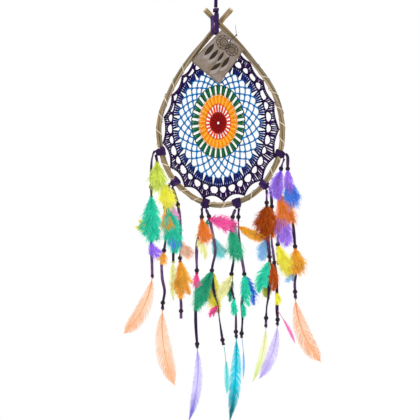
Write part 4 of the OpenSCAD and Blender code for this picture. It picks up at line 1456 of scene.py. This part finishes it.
        # where the yarns meet, row by row, a little uneven as handwork is
        rows = len(levels) - 1
        meets = [[((q + 0.5 * (row % 2) + rng.normal(0, 0.035 * (row < rows))) / self.cells,
                   level + rng.normal(0, 0.35)) for q in range(self.cells)]
                 for row, level in enumerate(levels)]
        for row in range(rows):
            for q in range(self.cells):
                foot, last = meets[row][q], meets[row][(q + 1) % self.cells]
                last = (last[0] + (q + 1) // self.cells, last[1])
                crest = meets[row + 1][(q + row % 2) % self.cells]
                crest = (crest[0] + (q + row % 2) // self.cells, crest[1])
                s = np.linspace(0, 1, 13)
                rise = 1 - np.abs(2 * s - 1) ** 1.3
                turn = foot[0] + (last[0] - foot[0]) * s + (crest[0] - (foot[0] + last[0]) / 2) * rise
                out = foot[1] + (last[1] - foot[1]) * s + (crest[1] - (foot[1] + last[1]) / 2) * rise
                path = self.at(turn, out, -0.25 + 0.1 * rng.normal())
                self.chain(skin, path, blue * (0.9 + 0.2 * rng.random()), 1.3)
                self.knot(skin, foot[0], foot[1] + 0.2, deep, 1.75)
        self.cast_off(skin, Yarn.BLUE, "web_blue")

    def blocks(self) -> None:
        """Navy blocks of five fat posts on the net's last arches, with a light gap at each foot."""
        skin = Skin()
        navy, light = tones_of(Yarn.NAVY.value)
        step = 1 / self.cells
        for q in range(self.cells):
            mid = q * step
            for k in range(5):
                f = (k - 2) / 2
                self.post(skin, (mid + f * step * 0.29, self.block_foot - 1.2 * abs(f)),
                          (mid + f * step * 0.41, self.navy_edge - 0.4), light if k % 2 else navy, 1.8, 0.6)
            self.arc(skin, mid + step * np.linspace(-0.34, 0.34, 7),
                     self.block_foot - 0.2 - 1.2 * np.abs(np.linspace(-1, 1, 7)), navy, 1.0)
            self.arc(skin, mid + step * np.linspace(-0.5, 0.5, 9), self.navy_edge, navy, 1.15)
        self.cast_off(skin, Yarn.NAVY, "web_navy")

    def rim(self, turns: Array, inset: Array | float) -> Array:
        """Find where lines out from the web's centre come within a distance of the canes' middle line.

        Args:
            turns: Turns round the web.
            inset: Distance to stay inside the hoop, for all or each.

        Returns:
            Places in the web's plane.
        """
        top = self.hoop.above * 0.8
        left = [self.hoop.side(-1, top * k / 12) for k in range(12, 0, -1)]
        right = [self.hoop.side(1, top * k / 12) for k in range(1, 13)]
        edge = np.array(left + [self.hoop.bowl(180 - 180 * k / 60) for k in range(61)] + right)
        x_r, x_l = right[-1][0], left[0][0]
        z_t = self.hoop.wide_z + top
        crown = [(x_r * 0.6, 0, z_t + 6), (7.0, 0, z_t + 9), (x_l * 0.6, 0, z_t + 6)]
        edge = np.vstack([edge, crown])
        centre = np.array([self.x, 0.0, self.z])
        rel = edge - centre
        angle = np.arctan2(rel[:, 2] / (self.half_h + 66 * self.grow), rel[:, 0] / (self.half_w + 66))
        order = np.argsort(angle)
        dist = np.linalg.norm(rel, axis=1)
        want = (2 * math.pi * turns + math.pi) % (2 * math.pi) - math.pi
        reach = np.interp(want, angle[order], dist[order], period=2 * math.pi) - inset
        way = unit(self.at(turns, 66.0) - centre)
        return centre + way * reach[:, None]

    def scoop(self, turn: Array) -> Array:
        """Give the edge's distance from the canes' middle line: least at a point, most between two."""
        deep = 5.5 + 4.5 * np.clip(-np.sin(2 * math.pi * turn), 0, 1)
        wave = np.abs(np.sin(math.pi * self.points * (turn - self.first_point)))
        return self.point_gap + deep * wave ** 0.8

    def border(self) -> None:
        """Purple fans over a round of large eyelets, with points that reach the hoop and scoops between."""
        skin = Skin()
        purple, light = tones_of(Yarn.PURPLE.value)
        eyelets = self.points * 2
        step = 1 / eyelets
        ring = self.first_point + np.arange(eyelets * 12) / (eyelets * 12)
        for inset, depth, tone, r in ((0.0, 0.0, purple, 1.4), (2.2, -0.4, light, 0.95)):
            edge = self.rim(ring, self.scoop(ring) + inset)
            edge[:, 1] = depth
            self.chain(skin, edge, tone, r, closed=True)
        centre = np.array([self.x, 0.0, self.z])
        rng = np.random.default_rng(31)
        for q in range(eyelets):
            middle = self.first_point + q * step
            t = round_angles(24)
            size = (1.12 if q % 2 else 0.9) * rng.uniform(0.92, 1.08)
            turns = middle - 0.42 * size * step * np.cos(t) * (1 - 0.28 * np.sin(t))
            oval = self.at(turns, self.navy_edge + self.eyelet_half * size * (1 + np.sin(t)))
            edge = self.rim(turns, self.scoop(turns) + 1.0)
            # the oval stays inside the edge where the band is narrow
            room = np.linalg.norm(edge - centre, axis=1) - np.linalg.norm(oval - centre, axis=1)
            oval += unit(oval - centre) * np.minimum(room - 1.6, 0)[:, None]
            self.chain(skin, oval, purple, 1.3, closed=True)
            ends = [(oval[k], edge[k]) for k in (1, 4, 6, 8, 11)]
            bound = np.array([middle - step / 2])
            ends.append((self.at(bound, self.navy_edge - 0.2)[0],
                         self.rim(bound, self.scoop(bound) + 1.0)[0]))
            for k, (foot, head) in enumerate(ends):
                post = smooth_line([foot, (foot + head) / 2 + FRONT * 0.7, head], 3)
                # posts thin out where the edge chain takes them up, which leaves a row of small holes
                skin.tube(post, self.fan_r - 0.5 * np.linspace(0, 1, len(post)) ** 3,
                          purple if k % 2 else light)
        self.cast_off(skin, Yarn.PURPLE, "web_purple")


# ---------------------------------------------------------------- tag
@dataclass
class Tag:
    """The card tag with its print, and the twine that ties it to the canes."""

    hoop: Hoop
    thick: float = 0.9
    turn: float = 40.0
    up: float = 5.0
    height: float = 73.0
    top_x: tuple[float, float] = (-23.0, 28.0)
    foot_x: tuple[float, float] = (-28.5, 33.5)
    ink_tones: tuple[str, str, str] = ("#30241c", "#6a5848", "#948a86")
    # the printed nets: x, y and radius of each; and the feathers: x, y, length, width and lean
    nets: tuple[tuple[float, float, float], ...] = ((-6.5, 8.5, 12.5), (12.5, 9.5, 10.5))
    feathers: tuple[tuple[float, float, float, float, float], ...] = (
        (-17.5, 21, 25, 8.0, 0.0), (-5.5, 24, 23, 7.0, -0.05), (4.0, 21, 19, 5.4, 0.1),
        (16.5, 21, 23, 7.0, 0.05), (12.0, 38, 21, 6.6, -0.25))
    twine_r: float = 0.34
    twine_tone: str = "#544a3e"

    def build(self, frame: dict) -> None:
        """Dress the board, print it and tie the twine.

        Args:
            frame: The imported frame.
        """
        dress(frame, "tag_card", BOARD)
        hole = next(np.array(j["pos_m"]) / MM for j in frame["joints"] if j["name"] == "tag_flap")
        self.print_face(hole)
        self.tie(hole)

    def spot(self, hole: Array, across: Array, down: Array, proud: float = 0.05) -> Array:
        """Place points on the front face: across from the hole, and down from it."""
        a = math.radians(self.turn)
        right, fall = np.array([math.cos(a), 0, -math.sin(a)]), np.array([-math.sin(a), 0, -math.cos(a)])
        flat = hole + np.multiply.outer(across, right) + np.multiply.outer(down, fall)
        return flat + FRONT * (self.thick / 2 + proud)

    def stroke(self, skin: Skin, hole: Array, across: Array, down: Array, width: Array,
               tone: Array, proud: float = 0.05) -> None:
        """Print one stroke.

        Args:
            skin: Skin of the print.
            hole: Middle of the hole.
            across: Places across the card.
            down: Places down the card.
            width: Stroke width at each place.
            tone: Ink colour.
            proud: How far it stands off the board.
        """
        line = self.spot(hole, across, down, proud)
        way = unit(np.gradient(line, axis=0))
        half = np.cross(way, BACK) * np.broadcast_to(width, (len(line),))[:, None] / 2
        skin.ribbons(line[None], half[None], np.broadcast_to(tone, (1, len(line), 3)))

    def print_face(self, hole: Array) -> None:
        """Print a plain net with hanging feathers and a border line.

        Args:
            hole: Middle of the hole.
        """
        skin = Skin()
        ink, soft, pale = tones_of(self.ink_tones)
        top, foot = 1.2 - self.up, self.height - self.up - 1.4
        corners = ((self.top_x[0] + 1.2, top), (self.foot_x[0] + 1.4, foot),
                   (self.foot_x[1] - 1.4, foot), (self.top_x[1] - 1.2, top))
        s = np.linspace(0, 1, 30)
        for a, b in zip(corners, corners[1:]):
            self.stroke(skin, hole, a[0] + (b[0] - a[0]) * s, a[1] + (b[1] - a[1]) * s, 0.9, soft * 0.9)
        t = np.linspace(0, 2 * math.pi, 49)
        for cx, cy, r in self.nets:
            self.stroke(skin, hole, cx + r * np.cos(t), cy + r * 0.9 * np.sin(t), 1.1, ink)
            for k in range(9):
                for lean in (2.1, -2.1, 2.75):
                    a = 2 * math.pi * k / 9 + np.array([0.0, lean])
                    self.stroke(skin, hole, cx + r * 0.94 * np.cos(a), cy + r * 0.85 * np.sin(a), 0.5, soft)
        for px, py, length, width, lean in self.feathers:
            s = np.linspace(0, 1, 14)
            wide = width * np.sin(math.pi * np.clip(s * 0.97 + 0.015, 0, 1)) ** 0.8
            across, down = px + lean * length * s + 0.8 * np.sin(3 * s), py + length * s
            self.stroke(skin, hole, across + 2.6, down + 5.5, wide * 1.3, pale, 0.03)
            self.stroke(skin, hole, across, down, wide, ink, 0.07)
            self.stroke(skin, hole, np.array([across[0], px + 0.3 * lean]), np.array([py, py - 5]), 0.5, ink)
        skin.build("Tag_print", INK, "tag", "card")

    def tie(self, hole: Array) -> None:
        """Loop the twine through the hole and round the canes, and knot it with a short end.

        Args:
            hole: Middle of the hole.
        """
        drop = 25
        t = self.hoop.above - drop
        rod = self.hoop.side(1, t) + FRONT * self.hoop.cross_y * self.hoop.ease(drop)
        way = unit(self.hoop.side(1, t + 2) - self.hoop.side(1, t - 2))
        up = np.array([way[2], 0.0, -way[0]])
        ring_r = self.hoop.bundle_r + 0.5 + 3.8
        middle = rod - up * 2.0 + np.array([0, -2.6, 0])
        a = round_angles(72)
        skin = Skin()
        tone = linear(self.twine_tone)
        # two strands laid round each other
        for phase in (0.0, math.pi):
            lay = a * 22 + phase
            path, _ = coil(middle, a, up, BACK, ring_r + 0.28 * np.cos(lay), way, 0.28 * np.sin(lay))
            skin.tube(path, self.twine_r, tone, facing=way, closed=True)
        knot = middle + up * (ring_r + 0.6)
        for lean in (0.7, -0.7):
            loop = swing(round_angles(12), up * 1.2, way * 1.1 + BACK * lean)
            skin.tube(knot + loop, 0.5, tone * 0.9, facing=BACK, closed=True)
        places = ((0, 0), (-0.6, 6), (-1.4, 12), (-1.9, 17))
        tail = smooth_line([knot + np.array([dx, 0, dz]) for dx, dz in places], 5)
        skin.tube(tail, np.linspace(0.5, 0.32, len(tail)), tone * 1.1)
        skin.build("Tag_twine", TWINE, "hoop", "string", ["tag_string"])


# ---------------------------------------------------------------- all
def main() -> None:
    """Load the frame and build every piece in order."""
    logging.basicConfig(level=logging.INFO, format="%(name)s: %(message)s")
    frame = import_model()
    studio = Studio()
    studio.camera()
    for strand in STRANDS:
        strand.build_lace(frame)
    hoop = Hoop()
    Hanger().build(hoop)
    studio.light()
    studio.floor()
    hoop.build()
    CrochetWeb(hoop).build()
    Tag(hoop).build(frame)
    for strand in STRANDS:
        strand.dress_beads(frame)
        strand.build_tufts(frame)
        strand.build_long_feather(frame)


if __name__ == "__main__":
    main()
